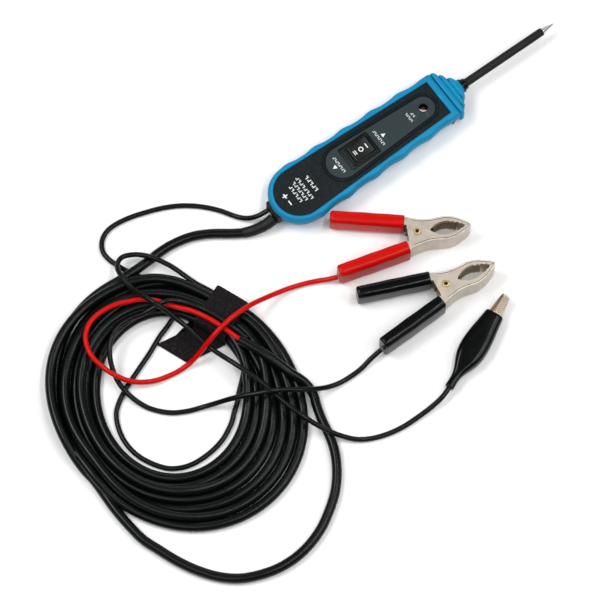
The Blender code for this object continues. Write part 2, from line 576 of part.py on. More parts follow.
def coil():
    """The tied coil as one solid ring, drawn in where the strap holds it."""
    strap_angle = math.atan2(STRAP_PLACE[1] - COIL_CENTRE[1], STRAP_PLACE[0] - COIL_CENTRE[0])
    strap_reach = (Vector(STRAP_PLACE) - Vector(COIL_CENTRE)).length
    steps = 48
    bm = bmesh.new()
    rows = []
    for i in range(steps):
        angle = 2 * math.pi * i / steps
        outer = ellipse_reach(COIL_OUTER, angle)
        inner = ellipse_reach(COIL_INNER, angle)
        away = abs(math.remainder(angle - strap_angle, 2 * math.pi))
        hold = 1 - min(1.0, max(0.0, (math.degrees(away) - 15) / 12))
        outer += (strap_reach + 10.6 - outer) * hold
        inner += (strap_reach - 11.0 - inner) * hold
        low = 2.0 * hold
        high = COIL_HEIGHT - 0.3 * hold
        half = Vector(((outer - inner) / 2, (high - low) / 2))
        section = rounded_box(half.x, half.y, min(COIL_ROUND, half.y - 0.2), 2)
        row = []
        for across, up in section:
            reach = (outer + inner) / 2 + across
            place = (COIL_CENTRE[0] + reach * math.cos(angle), COIL_CENTRE[1] + reach * math.sin(angle))
            row.append(bm.verts.new((*place, (high + low) / 2 + up)))
        rows.append(row)
    count = len(rows[0])
    for near, far in zip(rows, rows[1:] + rows[:1]):
        for i in range(count):
            bm.faces.new((near[i], near[(i + 1) % count], far[(i + 1) % count], far[i]))
    finish("cable_coil", bm, PVC, sharp=60)


def strap():
    """A hook-and-loop strap once round the coil, with its loose tail on the surface inside."""
    thick = STRAP_THICK
    outer_u, inner_u, low, high = 15.6, -15.4, 0.15, 15.6
    middle = [(-36.0, low + 0.2), (inner_u, low), (outer_u, low), (outer_u, high), (inner_u, high),
              (inner_u, low + thick + 0.6)]
    left, right = [], []
    for i, point in enumerate(middle):
        here = Vector(point)
        before = Vector(middle[i - 1]) if i else None
        after = Vector(middle[i + 1]) if i + 1 < len(middle) else None
        first = (here - before).normalized() if before else (after - here).normalized()
        second = (after - here).normalized() if after else first
        normal = Vector((-first.y, first.x)) + Vector((-second.y, second.x))
        normal = normal.normalized() * (thick / max(0.5, normal.normalized().dot((-first.y, first.x))))
        right.append(tuple(here))
        left.append(tuple(here + normal))
    profile = right + list(reversed(left))
    rings = []
    for t in (-STRAP_HALF, STRAP_HALF):
        rings.append([(u, t + STRAP_TAIL_LEAN * max(0.0, inner_u - u), z) for u, z in profile])
    bm = loft(rings)
    turn = Matrix.Rotation(math.radians(STRAP_TURN), 4, "Z")
    bmesh.ops.transform(bm, matrix=Matrix.Translation((*STRAP_PLACE, 0)) @ turn, verts=bm.verts)
    finish("coil_strap", bm, WEB)


def leads():
    cord("main_cable_lead", MAIN_LEAD, MAIN_RADIUS, PVC, 13.0)
    cord("main_cable_loop", MAIN_LOOP, MAIN_RADIUS, PVC, 15.0)
    cord("red_lead", RED_LEAD + [sleeve_mouth("red")], LEAD_RADIUS, RED, 10.0)
    cord("black_lead", BLACK_LEAD + [sleeve_mouth("black")], LEAD_RADIUS, PVC, 10.0)
    cord("ground_lead_first", GROUND_FIRST, LEAD_RADIUS, PVC, 9.0)
    cord("ground_lead_inner", GROUND_INNER, LEAD_RADIUS, PVC, 10.0)
    tail = (GATOR_TAIL[0] + 6.0 * math.cos(math.radians(GATOR_TURN)),
            GATOR_TAIL[1] + 6.0 * math.sin(math.radians(GATOR_TURN)), GATOR_Z)
    cord("ground_lead_last", GROUND_LAST + [tail], LEAD_RADIUS, PVC, 9.0)


# ---- battery clips -------------------------------------------------------------------------------
def handle_frame(side):
    """Start, direction and inward normal of a handle; side is -1 for the fixed half, +1 for the other."""
    slope = math.radians(HANDLE_SLOPE)
    start = Vector((-8.0, side * 9.8))
    along = Vector((-math.cos(slope), side * math.sin(slope)))
    inward = Vector((-math.sin(slope), -side * math.cos(slope)))
    return start, along, inward


def handle_point(side, distance, across):
    start, along, inward = handle_frame(side)
    return tuple(start + along * distance + inward * across)


def half_outline(side):
    """Outline of one half: jaw, ear round the rivet and handle, drawn for +y and mirrored."""
    jaw_out = [(37.6, 0.15), (36.2, 2.0), (34.0, 3.6), (31.3, 5.1), (27.0, 7.4), (23.5, 8.4), (20.0, 8.9),
               (15.0, 8.6), (10.5, 8.3), (4.0, 8.9), (-3.0, 10.9)]
    handle = [handle_point(1, 0, -HANDLE_HALF), handle_point(1, HANDLE_LENGTH, -HANDLE_HALF),
              handle_point(1, HANDLE_LENGTH, HANDLE_HALF), handle_point(1, -2.2, HANDLE_HALF)]
    ear = arc((0, 0), 6.6, 170, 290, 6) + [(6.4, -1.6)]
    jaw_in = [(8.9, 0.15), (11.0, 2.1), (13.5, 3.8), (17.0, 5.0), (20.0, 5.3), (23.0, 5.1), (24.2, 3.9),
              (25.6, 4.6), (27.2, 3.1), (28.6, 3.5), (30.4, 1.9), (31.6, 2.1), (33.3, 0.15)]
    outline = jaw_out + handle + ear + jaw_in
    return [(x, y * side) for x, y in outline]


def web_cutter(side):
    """Space between a half's two plates: everything but the web along its outer edge."""
    web = CLIP_PLATE + 0.1
    edge = [(37.2, 0.15 - 0.6), (36.2, 2.0 - web), (34.0, 3.6 - web), (31.3, 5.1 - web), (27.0, 7.4 - web),
            (23.5, 8.4 - web), (20.0, 8.9 - web), (15.0, 8.6 - web), (10.5, 8.3 - web), (4.0, 8.9 - web),
            (-3.0, 10.9 - web)]
    handle = [handle_point(1, 0, -HANDLE_HALF + web), handle_point(1, HANDLE_LENGTH + 5, -HANDLE_HALF + web)]
    far = [(-70.0, -30.0), (45.0, -30.0), (45.0, -2.0)]
    return [(x, y * side) for x, y in edge + handle + far]


def clip_half(name, side, low, high, parent):
    piece = finish(name, prism(half_outline(side), low, high), STEEL, parent)
    boolean(piece, prism(web_cutter(side), low + CLIP_PLATE, high - CLIP_PLATE))
    boolean(piece, turned([(2.3, low - 3), (2.3, high + 3)], 12))
    return piece


def clip_sleeve(name, side, low, high, skin, parent):
    """A soft sleeve over a handle: closed at the handle's end, open at its front."""
    start, along, inward = handle_frame(side)
    wall_y, wall_z, length = 1.3, 0.7, HANDLE_LENGTH + 1.8
    middle = (low + high) / 2
    half_z = (high - low) / 2
    rings = []
    for distance, shrink in ((-0.5, 0.0), (length - 1.4, 0.0), (length, 1.2)):
        outline = rounded_box(HANDLE_HALF + GAP + wall_y - shrink, half_z + GAP + wall_z - shrink,
                              2.0 - shrink * 0.6, 3)
        rings.append([(*(start + along * distance + inward * across), middle + up)
                      for across, up in outline])
    piece = finish(name, loft(rings), skin, parent)
    hollow = []
    for distance in (-3.0, HANDLE_LENGTH + GAP):
        outline = box_outline(-HANDLE_HALF - GAP, HANDLE_HALF + GAP, -half_z - GAP, half_z + GAP)
        hollow.append([(*(start + along * distance + inward * across), middle + up)
                       for across, up in outline])
    boolean(piece, loft(hollow))
    return piece


def clip_frame(name):
    place, turn = CLIPS[name]
    return Matrix.Translation((*place, 0)) @ Matrix.Rotation(math.radians(turn), 4, "Z")


def sleeve_mouth(name):
    """Where a lead meets the end of the fixed handle's sleeve."""
    x, y = handle_point(-1, HANDLE_LENGTH + 2.8, 0)
    return tuple(clip_frame(name) @ Vector((x, y, 6.5)))


def battery_clip(name, skin):
    hub = bpy.data.objects.new(f"{name}_clip_hub", None)
    bpy.context.scene.collection.objects.link(hub)
    place, turn = CLIPS[name]
    hub.location = Vector((*place, 0)) * MM
    hub.rotation_euler = (0, 0, math.radians(turn))
    low, high = CLIP_LOW, CLIP_HIGH
    inner_low, inner_high = low + CLIP_NEST, high - CLIP_NEST
    clip_half(f"{name}_clip_fixed_jaw", -1, low, high, hub)
    clip_half(f"{name}_clip_moving_jaw", 1, inner_low, inner_high, hub)
    clip_sleeve(f"{name}_clip_fixed_sleeve", -1, low, high, skin, hub)
    clip_sleeve(f"{name}_clip_moving_sleeve", 1, inner_low, inner_high, skin, hub)
    rivet = [(2.7, low - 0.9), (2.7, low - GAP), (2.0, low - GAP), (2.0, high + GAP), (2.7, high + GAP),
             (2.7, high + 0.8), (1.2, high + 0.8), (1.2, low - 0.9)]
    finish(f"{name}_clip_rivet", turned(rivet, 12, closed=True), BRASS, hub)
    arms = ((-6.8, -5.6), (-8.4, -0.5))
    helix(f"{name}_clip_spring", STEEL, (0, 0, 10.0), 4.4, 0.7, 4, 2.4, arms, hub)


# ---- alligator clip ------------------------------------------------------------------------------
def gator_half(name, side, low, high, parent):
    """One jaw with its handle; x runs to the tip and the pin is at the origin."""
    outer = [(20.4, 1.7), (13.0, 3.0), (6.0, 4.1), (0.0, 4.4), (-8.0, 5.2), (-28.0, 6.9)]
    inner = [(-28.0, 5.7), (-8.0, 3.2), (-4.6, 0.5), (-3.0, -2.0), (0.0, -2.8), (3.0, -2.0), (5.6, 0.15)]
    teeth = []
    for i in range(6):
        x = 7.2 + i * 2.2
        teeth += [(x, 0.15), (x + 1.1, 0.75)]
    outline = outer + inner + teeth + [(20.4, 0.15)]
    piece = finish(name, prism([(x, y * side) for x, y in outline], low, high), STEEL, parent)
    edge = [(20.9, 1.0), (13.0, 2.4), (6.0, 3.5), (0.0, 3.8), (-8.0, 4.6), (-30.0, 6.45)]
    space = edge + [(-30.0, -9.0), (20.9, -9.0)]
    boolean(piece, prism([(x, y * side) for x, y in space], low + 0.7, high - 0.7))
    boolean(piece, turned([(1.2, low - 3), (1.2, high + 3)], 10))


def alligator_clip():
    turn = math.radians(GATOR_TURN)
    hub = bpy.data.objects.new("ground_clip_hub", None)
    bpy.context.scene.collection.objects.link(hub)
    place = Vector((GATOR_TAIL[0] + GATOR_PIVOT * math.cos(turn),
                    GATOR_TAIL[1] + GATOR_PIVOT * math.sin(turn), GATOR_Z))
    hub.location = place * MM
    hub.rotation_euler = (0, 0, turn)
    gator_half("ground_clip_fixed_jaw", -1, -3.5, 3.5, hub)
    gator_half("ground_clip_moving_jaw", 1, -2.5, 2.5, hub)
    pin = [(1.5, -4.1), (1.5, -3.8), (0.9, -3.8), (0.9, 3.8), (1.5, 3.8), (1.5, 4.1)]
    finish("ground_clip_pin", turned(pin, 10), BRASS, hub)
    helix("ground_clip_spring", STEEL, (0, 0, 0), 1.75, 0.3, 2, 1.2, ((-7.0, -3.4), (-8.5, 1.6)), hub)
    screw = [(1.5, -1.2), (1.5, 1.2), (0.8, 1.4), (0.8, 2.0)]
    finish("ground_clip_screw", turned(screw, 10, (-22.0, -4.2, 0.0)), BRASS, hub)
    outer = [(0, 3.1, 3.1), (8, 3.2, 3.1), (12, 3.8, 3.4), (18, 6.0, 4.4), (25, 8.8, 5.5), (33, 9.7, 5.9),
             (43, 9.4, 5.9), (52, 7.8, 5.7), (62, 6.3, 5.5)]
    hollow = [(-2, 2.35, 2.35), (13, 2.2, 2.2), (20, 4.4, 3.6), (26, 7.8, 4.7), (33, 8.8, 5.1),
              (43, 8.5, 5.1), (52, 7.0, 4.9), (64, 5.5, 4.7)]

    def shell(stations):
        rings = []
        for along, half_y, half_z in stations:
            section = rounded_box(half_y, half_z, 0.72 * min(half_y, half_z))
            rings.append([(along - GATOR_PIVOT, y, z) for y, z in section])
        return loft(rings)

    boot = finish("ground_clip_boot", shell(outer), PVC, hub)
    boolean(boot, shell(hollow))


def build():
    grip()
    front_cover()
    rear_cover()
    face_plate()
    case_screws()
    switch_body()
    rocker()
    switch_terminals()
    light()
    circuit()
    nose()
    probe()
    cord_entry()
    inner_wires()
    coil()
    strap()
    leads()
    battery_clip("red", RED)
    battery_clip("black", PVC)
    alligator_clip()


build()
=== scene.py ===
"""Looks of the circuit test light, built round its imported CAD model.

All sizes and places are millimetres in the CAD frame, unless a name ends in _m: +X runs along the
probe to its tip, +Z is up and the tester lies on its back on the plane Z = 0.
"""
import math

import bmesh
import bpy
import numpy as np
from mathutils import Matrix, Vector
from mathutils.geometry import interpolate_bezier


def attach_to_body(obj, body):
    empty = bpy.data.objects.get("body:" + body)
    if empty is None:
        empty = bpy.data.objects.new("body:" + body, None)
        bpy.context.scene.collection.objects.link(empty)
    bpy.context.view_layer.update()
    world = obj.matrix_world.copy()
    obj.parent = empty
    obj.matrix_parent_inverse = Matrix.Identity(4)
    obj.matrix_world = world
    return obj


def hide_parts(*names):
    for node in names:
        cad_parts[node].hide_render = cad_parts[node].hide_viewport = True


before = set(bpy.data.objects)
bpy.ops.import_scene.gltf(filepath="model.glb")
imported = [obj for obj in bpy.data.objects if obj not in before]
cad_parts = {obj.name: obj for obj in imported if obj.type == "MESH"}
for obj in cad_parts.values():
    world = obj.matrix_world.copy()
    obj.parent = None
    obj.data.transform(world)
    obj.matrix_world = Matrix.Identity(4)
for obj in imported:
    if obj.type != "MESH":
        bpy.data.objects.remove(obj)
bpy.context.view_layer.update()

MM = 0.001

# ---- cords: where they lie, as in the CAD model --------------------------------------------------
MAIN_RADIUS = 3.4
LEAD_RADIUS = 1.8
CORD_EXIT_X = -123.5
COIL_CENTRE = (-254.0, -69.0)
COIL_OUTER = ((-253.8, -71.5), 101.2, 82.2, 95.0)   # centre, long and short half axes, turn
COIL_INNER = ((-254.0, -64.0), 57.2, 47.6, 64.7)
COIL_CEILING = 14.2
STRAP_PLACE = (-193.5, -38.7)
STRAP_TURN = 21.7
STRAP_HALF = 12.5

MAIN_LEAD = [
    (CORD_EXIT_X, -2.8, 9.0), (-130, -2.8, 7.6), (-137, -1.0, 5.4), (-144, 2.0, 3.8), (-152, 7.0, 3.5),
    (-164, 15.5, 3.5), (-176, 21.5, 3.5), (-190, 24.6, 3.5), (-202, 25.0, 3.5), (-211, 23.5, 3.5)]
LOOP_START = [(-332.0, -108.0, 3.5), (-331.0, -123.0, 3.5)]
MAIN_LOOP = [
    (-175.5, -121, 3.5), (-178.5, -129, 3.5), (-181.5, -139, 3.5), (-184, -151, 3.5), (-188, -163, 3.5),
    (-195, -175, 3.5), (-204, -185.5, 3.5), (-215, -194, 3.5), (-229, -202, 3.5), (-246, -207, 3.5),
    (-263, -207.5, 3.5), (-278, -204, 3.5), (-292, -197.5, 3.5), (-303, -188, 3.5), (-312, -176, 3.5),
    (-319, -163, 3.5), (-325, -148, 3.5), (-329, -137, 3.5)]
LOOP_RETURN = [
    (-176, -112, 7.0), (-180.5, -102, 11.4), (-184, -91.5, 13.8), (-188, -80.5, 15.4),
    (-192.3, -70.5, 16.0), (-195.6, -63.0, 16.0)]
GROUND_FIRST = [
    (CORD_EXIT_X, 4.2, 10.0), (-131, 5.8, 7.6), (-137, 9.6, 4.6), (-142, 16, 2.4), (-149, 27, 1.9),
    (-158, 37, 1.9), (-168, 45, 1.9), (-179, 51, 1.9), (-191, 55.5, 1.9), (-203, 59, 1.9),
    (-215, 60.5, 1.9), (-223, 59, 1.9), (-229, 54.5, 1.9), (-232, 48, 1.9), (-231.5, 41, 1.9),
    (-229.5, 35, 1.9), (-227.5, 29.5, 1.9)]
GROUND_UNDER = [
    (-221.5, 18.5, 1.9), (-215.8, 8, 1.9), (-213, -2, 1.9), (-214, -11, 1.9), (-219, -18, 1.9)]
GROUND_INNER = [
    (-226, -21.5, 1.9), (-236, -25, 1.9), (-249, -31, 1.9), (-264, -37, 1.9), (-276, -42, 1.9),
    (-285, -47, 1.9), (-292, -53, 1.9), (-297, -63, 1.9), (-299, -74, 1.9), (-297.5, -86, 1.9),
    (-292, -98, 1.9), (-284.5, -107, 1.9), (-273, -112.5, 1.9), (-259, -113.5, 1.9), (-245, -111, 1.9),
    (-233, -105, 1.9), (-226.5, -99.5, 1.9)]
GROUND_LAST = [
    (-200.5, 8.5, 9.0), (-203.5, 15, 9.3), (-207.5, 22, 9.6), (-212, 28, 9.4), (-218, 33, 9.0),
    (-225, 35.4, 9.4), (-230.5, 32.6, 11.2), (-233.4, 27.5, 13.8), (-234, 22, 16.0), (-234.2, 14, 17.0),
    (-233.5, 7, 18.9), (-231.5, 0, 21.6), (-228.5, -9.5, 23.7), (-225.3, -17, 21.4),
    (-222, -25.5, 16.8), (-219, -34, 14.2), (-217, -43, 12.4), (-215, -52, 11.4), (-212.5, -62, 13.0),
    (-209.5, -72, 15.6), (-206.5, -81, 16.4), (-203, -91, 16.3), (-200, -103, 16.3), (-197, -119, 16.4),
    (-193.5, -131, 16.4), (-189, -141.5, 13.4), (-183.5, -150.5, 9.4), (-177.5, -158, 6.2),
    (-170.5, -164.5, 3.0), (-162, -169.5, 1.9), (-151, -173.5, 1.9), (-139, -175.6, 1.9),
    (-127, -176.0, 2.2), (-116, -176.0, 3.8), (-107, -175.2, 5.5), (-101.5, -173.7, 6.1)]
RED_LEAD = [
    (-193.6, -66.5, 15.4), (-196.5, -60, 16.6), (-199, -53, 17.9), (-202, -44, 17.9), (-206, -35, 17.9),
    (-211, -26, 17.1), (-218, -17, 16.3), (-225.5, -6.5, 16.2), (-233.5, 0.5, 16.2), (-241, 4, 16.2),
    (-248.5, 7, 16.2), (-256.5, 8.5, 16.2), (-265, 8.5, 16.2), (-273, 6, 16.2), (-279, 1, 16.2),
    (-282.5, -5.5, 16.2), (-284, -14, 16.4), (-282.5, -23.5, 15.2), (-278.5, -33, 12.3),
    (-271, -42.5, 8.4), (-259.5, -49, 4.4), (-247, -52, 1.9), (-238, -53.2, 2.2), (-230, -53.6, 5.0),
    (-223, -53.4, 10.2), (-215.5, -52.4, 15.8), (-208.5, -51.4, 20.2), (-201, -50.3, 22.3),
    (-193, -49, 22.3), (-185, -48.2, 20.6), (-178, -47.6, 18.2), (-171, -47.2, 14.8),
    (-164.5, -47.1, 11.2), (-158, -47.3, 8.0), (-151, -47.9, 5.4), (-144, -49, 3.6), (-137, -50.8, 2.5),
    (-130.5, -53.1, 2.2), (-124, -56.3, 3.0), (-118.2, -60, 4.8)]
BLACK_LEAD = [
    (-190.6, -65.5, 15.6), (-192.5, -58.5, 16.6), (-195, -51.5, 17.9), (-198, -42.3, 17.9),
    (-202, -33.2, 17.9), (-207, -24.3, 17.6), (-213.5, -17.0, 19.2), (-221, -12.3, 20.9),
    (-229, -10.5, 18.4), (-238, -9.2, 16.6), (-249, -6.5, 16.3), (-259, -7, 16.2), (-267, -12, 16.0),
    (-273, -19, 14.2), (-276.5, -26.5, 10.4), (-278.5, -35, 7.2), (-278.5, -44, 5.9), (-276, -54, 3.6),
    (-271, -64, 1.9), (-262, -74, 1.9), (-252, -80, 1.9), (-242, -84, 2.6), (-232.5, -88.7, 7.0),
    (-224.5, -93.3, 12.6), (-216.5, -98, 16.6), (-209, -102.5, 19.2), (-201.5, -106.6, 20.9),
    (-194, -110.5, 19.5), (-186, -115, 17.0), (-179.5, -118.3, 14.0), (-173, -120.9, 10.0),
    (-165, -123.2, 5.2), (-156, -124.8, 2.4), (-147, -125.4, 1.9), (-138, -125.2, 2.4),
    (-129, -123.9, 4.4)]

# ---- coil: how its turns lie side by side and on each other --------------------------------------
SAMPLES = 96                    # places per turn
COIL_ENTRY = 63.75              # degrees round the coil where the cable comes in
COIL_TURNS = 7
COIL_LEAVE = 195.0              # degrees where its last turn leaves
STRAP_AT, LEFT_AT, LOW_AT = 27.0, 150.0, 290.0
# Place of each turn across the coil, 0 at its inner edge and 1 at its outer one, and its layer.
TURNS = {
    STRAP_AT: [(1.3, 0), (0.90, 0), (0.63, 0), (0.36, 0), (0.08, 0), (0.22, 1), (0.50, 1), (0.80, 1)],
    LEFT_AT: [(0.80, 0), (0.60, 0), (0.40, 0), (0.20, 0), (0.0, 0), (0.30, 1), (0.68, 1), (1.0, 0)],
    LOW_AT: [(0.97, 0), (0.64, 0), (0.47, 0), (0.16, 0), (0.0, 0), (0.31, 0), (0.80, 0), (1.0, 0)]}
UPPER_LAYER = 2.85 * MAIN_RADIUS
CABLE_ENTRY = ((104.0, 4.0), (100.7, 5.4), (97.1, 6.9), (93.9, 7.3))   # reach and height as it comes in
CABLE_FIXED = [0, 1, 2, 3, -2, -1]
GROUND_FIXED = [0, 1, 2, 3, 4, 5, 6, -2, -1]
# Where the strap holds the turns together: degrees it holds and then fades over, half the width it
# leaves them, what it raises the floor by and what it takes off the ceiling.
HOLD_DEGREES, HOLD_FADE, HOLD_HALF, HOLD_FLOOR, HOLD_CEILING = 13, 14, 13.9, 1.75, 0.1
# The ground lead's hidden turn: degrees, place across, height.
GROUND_TURN = [
    (312.0, -0.133, 1.9), (330.0, -0.09, 1.9), (345.0, -0.04, 1.9), (360.0, 0.25, 1.9),
    (375.0, 0.7, 2.2), (387.0, 1.0, 4.5), (405.0, 1.0, 9.0), (414.0, 1.08, 9.2)]

# How the turns settle: rounds, stiffness early and late, pull to their first place, and how far they
# sink or move apart in a round.
SETTLE_ROUNDS, STIFFNESS, LATE_STIFFNESS, PULL_TO_AIM, SINK = 260, 0.8, 0.35, 0.03, 0.10
STRAND_GAP, LONGEST_MOVE, EASE_PASSES = 0.12, 1.5, 8


def reach_to(shape, angle):
    """Distance from the coil's centre to an ellipse's edge in a given direction, in radians."""
    (centre_x, centre_y), long_half, short_half, turn = shape
    turn = math.radians(turn)

    def local(x, y):
        return np.array(((x * math.cos(turn) + y * math.sin(turn)) / long_half,
                         (-x * math.sin(turn) + y * math.cos(turn)) / short_half))

    d = local(math.cos(angle), math.sin(angle))
    o = local(COIL_CENTRE[0] - centre_x, COIL_CENTRE[1] - centre_y)
    a, b, c = d @ d, 2 * (d @ o), o @ o - 1
    return (-b + math.sqrt(b * b - 4 * a * c)) / (2 * a)


def polar(x, y):
    """Degrees round the coil and distance from its centre."""
    dx, dy = x - COIL_CENTRE[0], y - COIL_CENTRE[1]
    return math.degrees(math.atan2(dy, dx)) % 360, math.hypot(dx, dy)


def coil_limits():
    """Inner and outer reach, floor and ceiling of the coil at each place round it."""
    angles = [2 * math.pi * i / SAMPLES for i in range(SAMPLES)]
    inner = np.array([reach_to(COIL_INNER, a) for a in angles])
    outer = np.array([reach_to(COIL_OUTER, a) for a in angles])
    strap_angle, strap_reach = polar(*STRAP_PLACE)
    away = np.array([abs((math.degrees(a) - strap_angle + 180) % 360 - 180) for a in angles])
    hold = 1 - np.clip((away - HOLD_DEGREES) / HOLD_FADE, 0, 1)
    inner += (strap_reach - HOLD_HALF - inner) * hold
    outer += (strap_reach + HOLD_HALF - outer) * hold
    return inner, outer, HOLD_FLOOR * hold, COIL_CEILING - HOLD_CEILING * hold


def strand(start, count, places, heights, radius, limits):
    """A strand of the coil: sample numbers round it, reach and height at each, and its radius."""
    index = np.arange(start, start + count)
    inner, outer = limits[0][index % SAMPLES], limits[1][index % SAMPLES]
    degrees = index * 360.0 / SAMPLES
    across = np.interp(degrees, *places)
    reach = inner + radius + (outer - inner - 2 * radius) * across
    height = np.interp(degrees, *heights)
    return {"index": index, "at": np.stack([reach, height], 1), "radius": radius,
            "aim": np.stack([reach, height], 1), "fixed": np.zeros(count, bool)}


def coil_strands():
    """The supply cable's turns and the ground lead's hidden turn, before they settle."""
    limits = coil_limits()
    keys = sorted(
        (at + 360 * turn, place, UPPER_LAYER if layer else MAIN_RADIUS)
        for at, row in TURNS.items() for turn, (place, layer) in enumerate(row))
    degrees, places, heights = zip(*keys)
    start = round(COIL_ENTRY * SAMPLES / 360)
    count = round((COIL_LEAVE + 360 * COIL_TURNS - COIL_ENTRY) * SAMPLES / 360)
    cable = strand(start, count, (degrees, places), (degrees, heights), MAIN_RADIUS, limits)
    cable["at"][:4] = cable["aim"][:4] = CABLE_ENTRY
    cable["fixed"][CABLE_FIXED] = True
    degrees, places, heights = zip(*GROUND_TURN)
    start = round(degrees[0] * SAMPLES / 360)
    count = round((degrees[-1] - degrees[0]) * SAMPLES / 360) + 1
    ground = strand(start, count, (degrees, places), (degrees, heights), LEAD_RADIUS, limits)
    ground["fixed"][GROUND_FIXED] = True
    return cable, ground, limits


def crossing(route, radius):
    """A cord that crosses the coil, as a strand that the others make room for."""
    rows = {}
    for point in smooth_route(route, 1.0):
        degrees, reach = polar(point[0], point[1])
        rows.setdefault(round(degrees * SAMPLES / 360) % SAMPLES, []).append((reach, point[2]))
    index, at = [], []
    for i, row in rows.items():
        for reach, height in row[::3]:
            index.append(i)
            at.append((reach, height))
    count = len(index)
    return {"index": np.array(index), "at": np.array(at), "aim": np.array(at), "radius": radius,
            "fixed": np.ones(count, bool)}


def push_apart(strands):
    """Move strands that overlap in a cross-section of the coil away from each other."""
    where = np.concatenate([s["index"] % SAMPLES for s in strands])
    at = np.concatenate([s["at"] for s in strands])
    radius = np.concatenate([np.full(len(s["index"]), s["radius"]) for s in strands])
    fixed = np.concatenate([s["fixed"] for s in strands])
    order = np.argsort(where, kind="stable")
    bounds = np.searchsorted(where[order], np.arange(SAMPLES + 1))
    for i in range(SAMPLES):
        here = order[bounds[i]:bounds[i + 1]]
        p, r, held = at[here], radius[here], fixed[here]
        delta = p[:, None] - p[None]
        far = np.linalg.norm(delta, axis=2) + 1e-6
        short = np.maximum(0.0, r[:, None] + r[None] + STRAND_GAP - far)
        np.fill_diagonal(short, 0.0)
        short[held[:, None] & held[None]] = 0.0
        share = np.where(held[None], 1.0, 0.5)
        move = (delta / far[..., None] * (short * share)[..., None]).sum(1)
        move[held] = 0.0
        at[here] += np.clip(move, -LONGEST_MOVE, LONGEST_MOVE)
    first = 0
    for s in strands:
        s["at"] = at[first:first + len(s["index"])]
        first += len(s["index"])


def settle(strands, limits):
    """Let the strands sink and settle round each other, as wound cable does."""
    inner, outer, floor, ceiling = limits
    loose = [s for s in strands if not s["fixed"].all()]
    for step in range(SETTLE_ROUNDS):
        late = step > SETTLE_ROUNDS * 0.75
        for s in loose:
            free = ~s["fixed"]
            at = s["at"]
            smooth = at.copy()
            smooth[1:-1] = 0.25 * at[:-2] + 0.5 * at[1:-1] + 0.25 * at[2:]
            at[free] += (smooth[free] - at[free]) * (LATE_STIFFNESS if late else STIFFNESS)
            if not late:
                at[free, 0] += PULL_TO_AIM * (s["aim"][free, 0] - at[free, 0])
                at[free, 1] -= SINK
        push_apart(strands)
        for s in loose:
            place = s["index"] % SAMPLES
            free = ~s["fixed"]
            low = np.maximum(s["radius"] + 0.1, floor[place] + s["radius"])
            high = ceiling[place] - s["radius"]
            near, far = inner[place] + s["radius"], outer[place] - s["radius"]
            near = np.where(s["radius"] < MAIN_RADIUS, near - 2 * LEAD_RADIUS, near)
            s["at"][free, 1] = np.clip(s["at"][free, 1], low[free], high[free])
            s["at"][free, 0] = np.clip(s["at"][free, 0], near[free], far[free])


def ease(s, limits):
    """Even out the bends of a settled strand."""
    at, free = s["at"], ~s["fixed"]
    place = s["index"] % SAMPLES
    for _ in range(EASE_PASSES):
        smooth = at.copy()
        smooth[2:-2] = (at[:-4] + 4 * at[1:-3] + 6 * at[2:-2] + 4 * at[3:-1] + at[4:]) / 16
        at[free] = smooth[free]
    at[free, 1] = np.maximum(at[free, 1], limits[2][place][free] + s["radius"] + 0.05)


def strand_points(s):
    """A strand's samples as points in space."""
    angle = s["index"] * 2 * math.pi / SAMPLES
    x = COIL_CENTRE[0] + s["at"][:, 0] * np.cos(angle)
    y = COIL_CENTRE[1] + s["at"][:, 0] * np.sin(angle)
    return [tuple(p) for p in np.stack([x, y, s["at"][:, 1]], 1)]


def smooth_route(points, spacing):
    """Points at even distances on one smooth curve through a route's own points."""
    route = [Vector(p) for p in points]
    count = len(route)
    tangents = []
    for i in range(count):
        before, after = route[max(0, i - 1)], route[min(count - 1, i + 1)]
        tangents.append((after - before).normalized())
    dense = []
    for i in range(count - 1):
        reach = (route[i + 1] - route[i]).length / 3
        dense += interpolate_bezier(
            route[i], route[i] + tangents[i] * reach,
            route[i + 1] - tangents[i + 1] * reach, route[i + 1], 9)[:-1]
    dense.append(route[-1])
    dense = np.array([tuple(p) for p in dense])
    along = np.concatenate([[0], np.cumsum(np.linalg.norm(np.diff(dense, axis=0), axis=1))])
    want = np.linspace(0, along[-1], max(2, round(along[-1] / spacing) + 1))
    return np.stack([np.interp(want, along, dense[:, k]) for k in range(3)], 1)


def cord_length_m(points):
    return float(np.linalg.norm(np.diff(points, axis=0), axis=1).sum()) * MM


# ---- materials -----------------------------------------------------------------------------------
def srgb(red, green, blue):
    """Linear colour from the usual 0 to 255 values."""
    values = [v / 255 for v in (red, green, blue)]
    return tuple(v / 12.92 if v <= 0.04045 else ((v + 0.055) / 1.055) ** 2.4 for v in values)


def add_noise(tree, coords, scale, detail=3.0):
    node = tree.nodes.new("ShaderNodeTexNoise")
    node.inputs["Scale"].default_value = scale
    node.inputs["Detail"].default_value = detail
    tree.links.new(coords, node.inputs["Vector"])
    return node.outputs["Fac"]


def add_range(tree, value, from_low, from_high, low, high):
    node = tree.nodes.new("ShaderNodeMapRange")
    for name, number in (("From Min", from_low), ("From Max", from_high), ("To Min", low),
                         ("To Max", high)):
        node.inputs[name].default_value = number
    tree.links.new(value, node.inputs["Value"])
    return node.outputs["Result"]


def add_mix(tree, factor, first, second):
    """Mix two colours, each a tuple or a socket."""
    node = tree.nodes.new("ShaderNodeMix")
    node.data_type = "RGBA"
    tree.links.new(factor, node.inputs["Factor"])
    for value, socket in ((first, node.inputs[6]), (second, node.inputs[7])):
        if isinstance(value, tuple):
            socket.default_value = (*value, 1.0)
        else:
            tree.links.new(value, socket)
    return node.outputs[2]


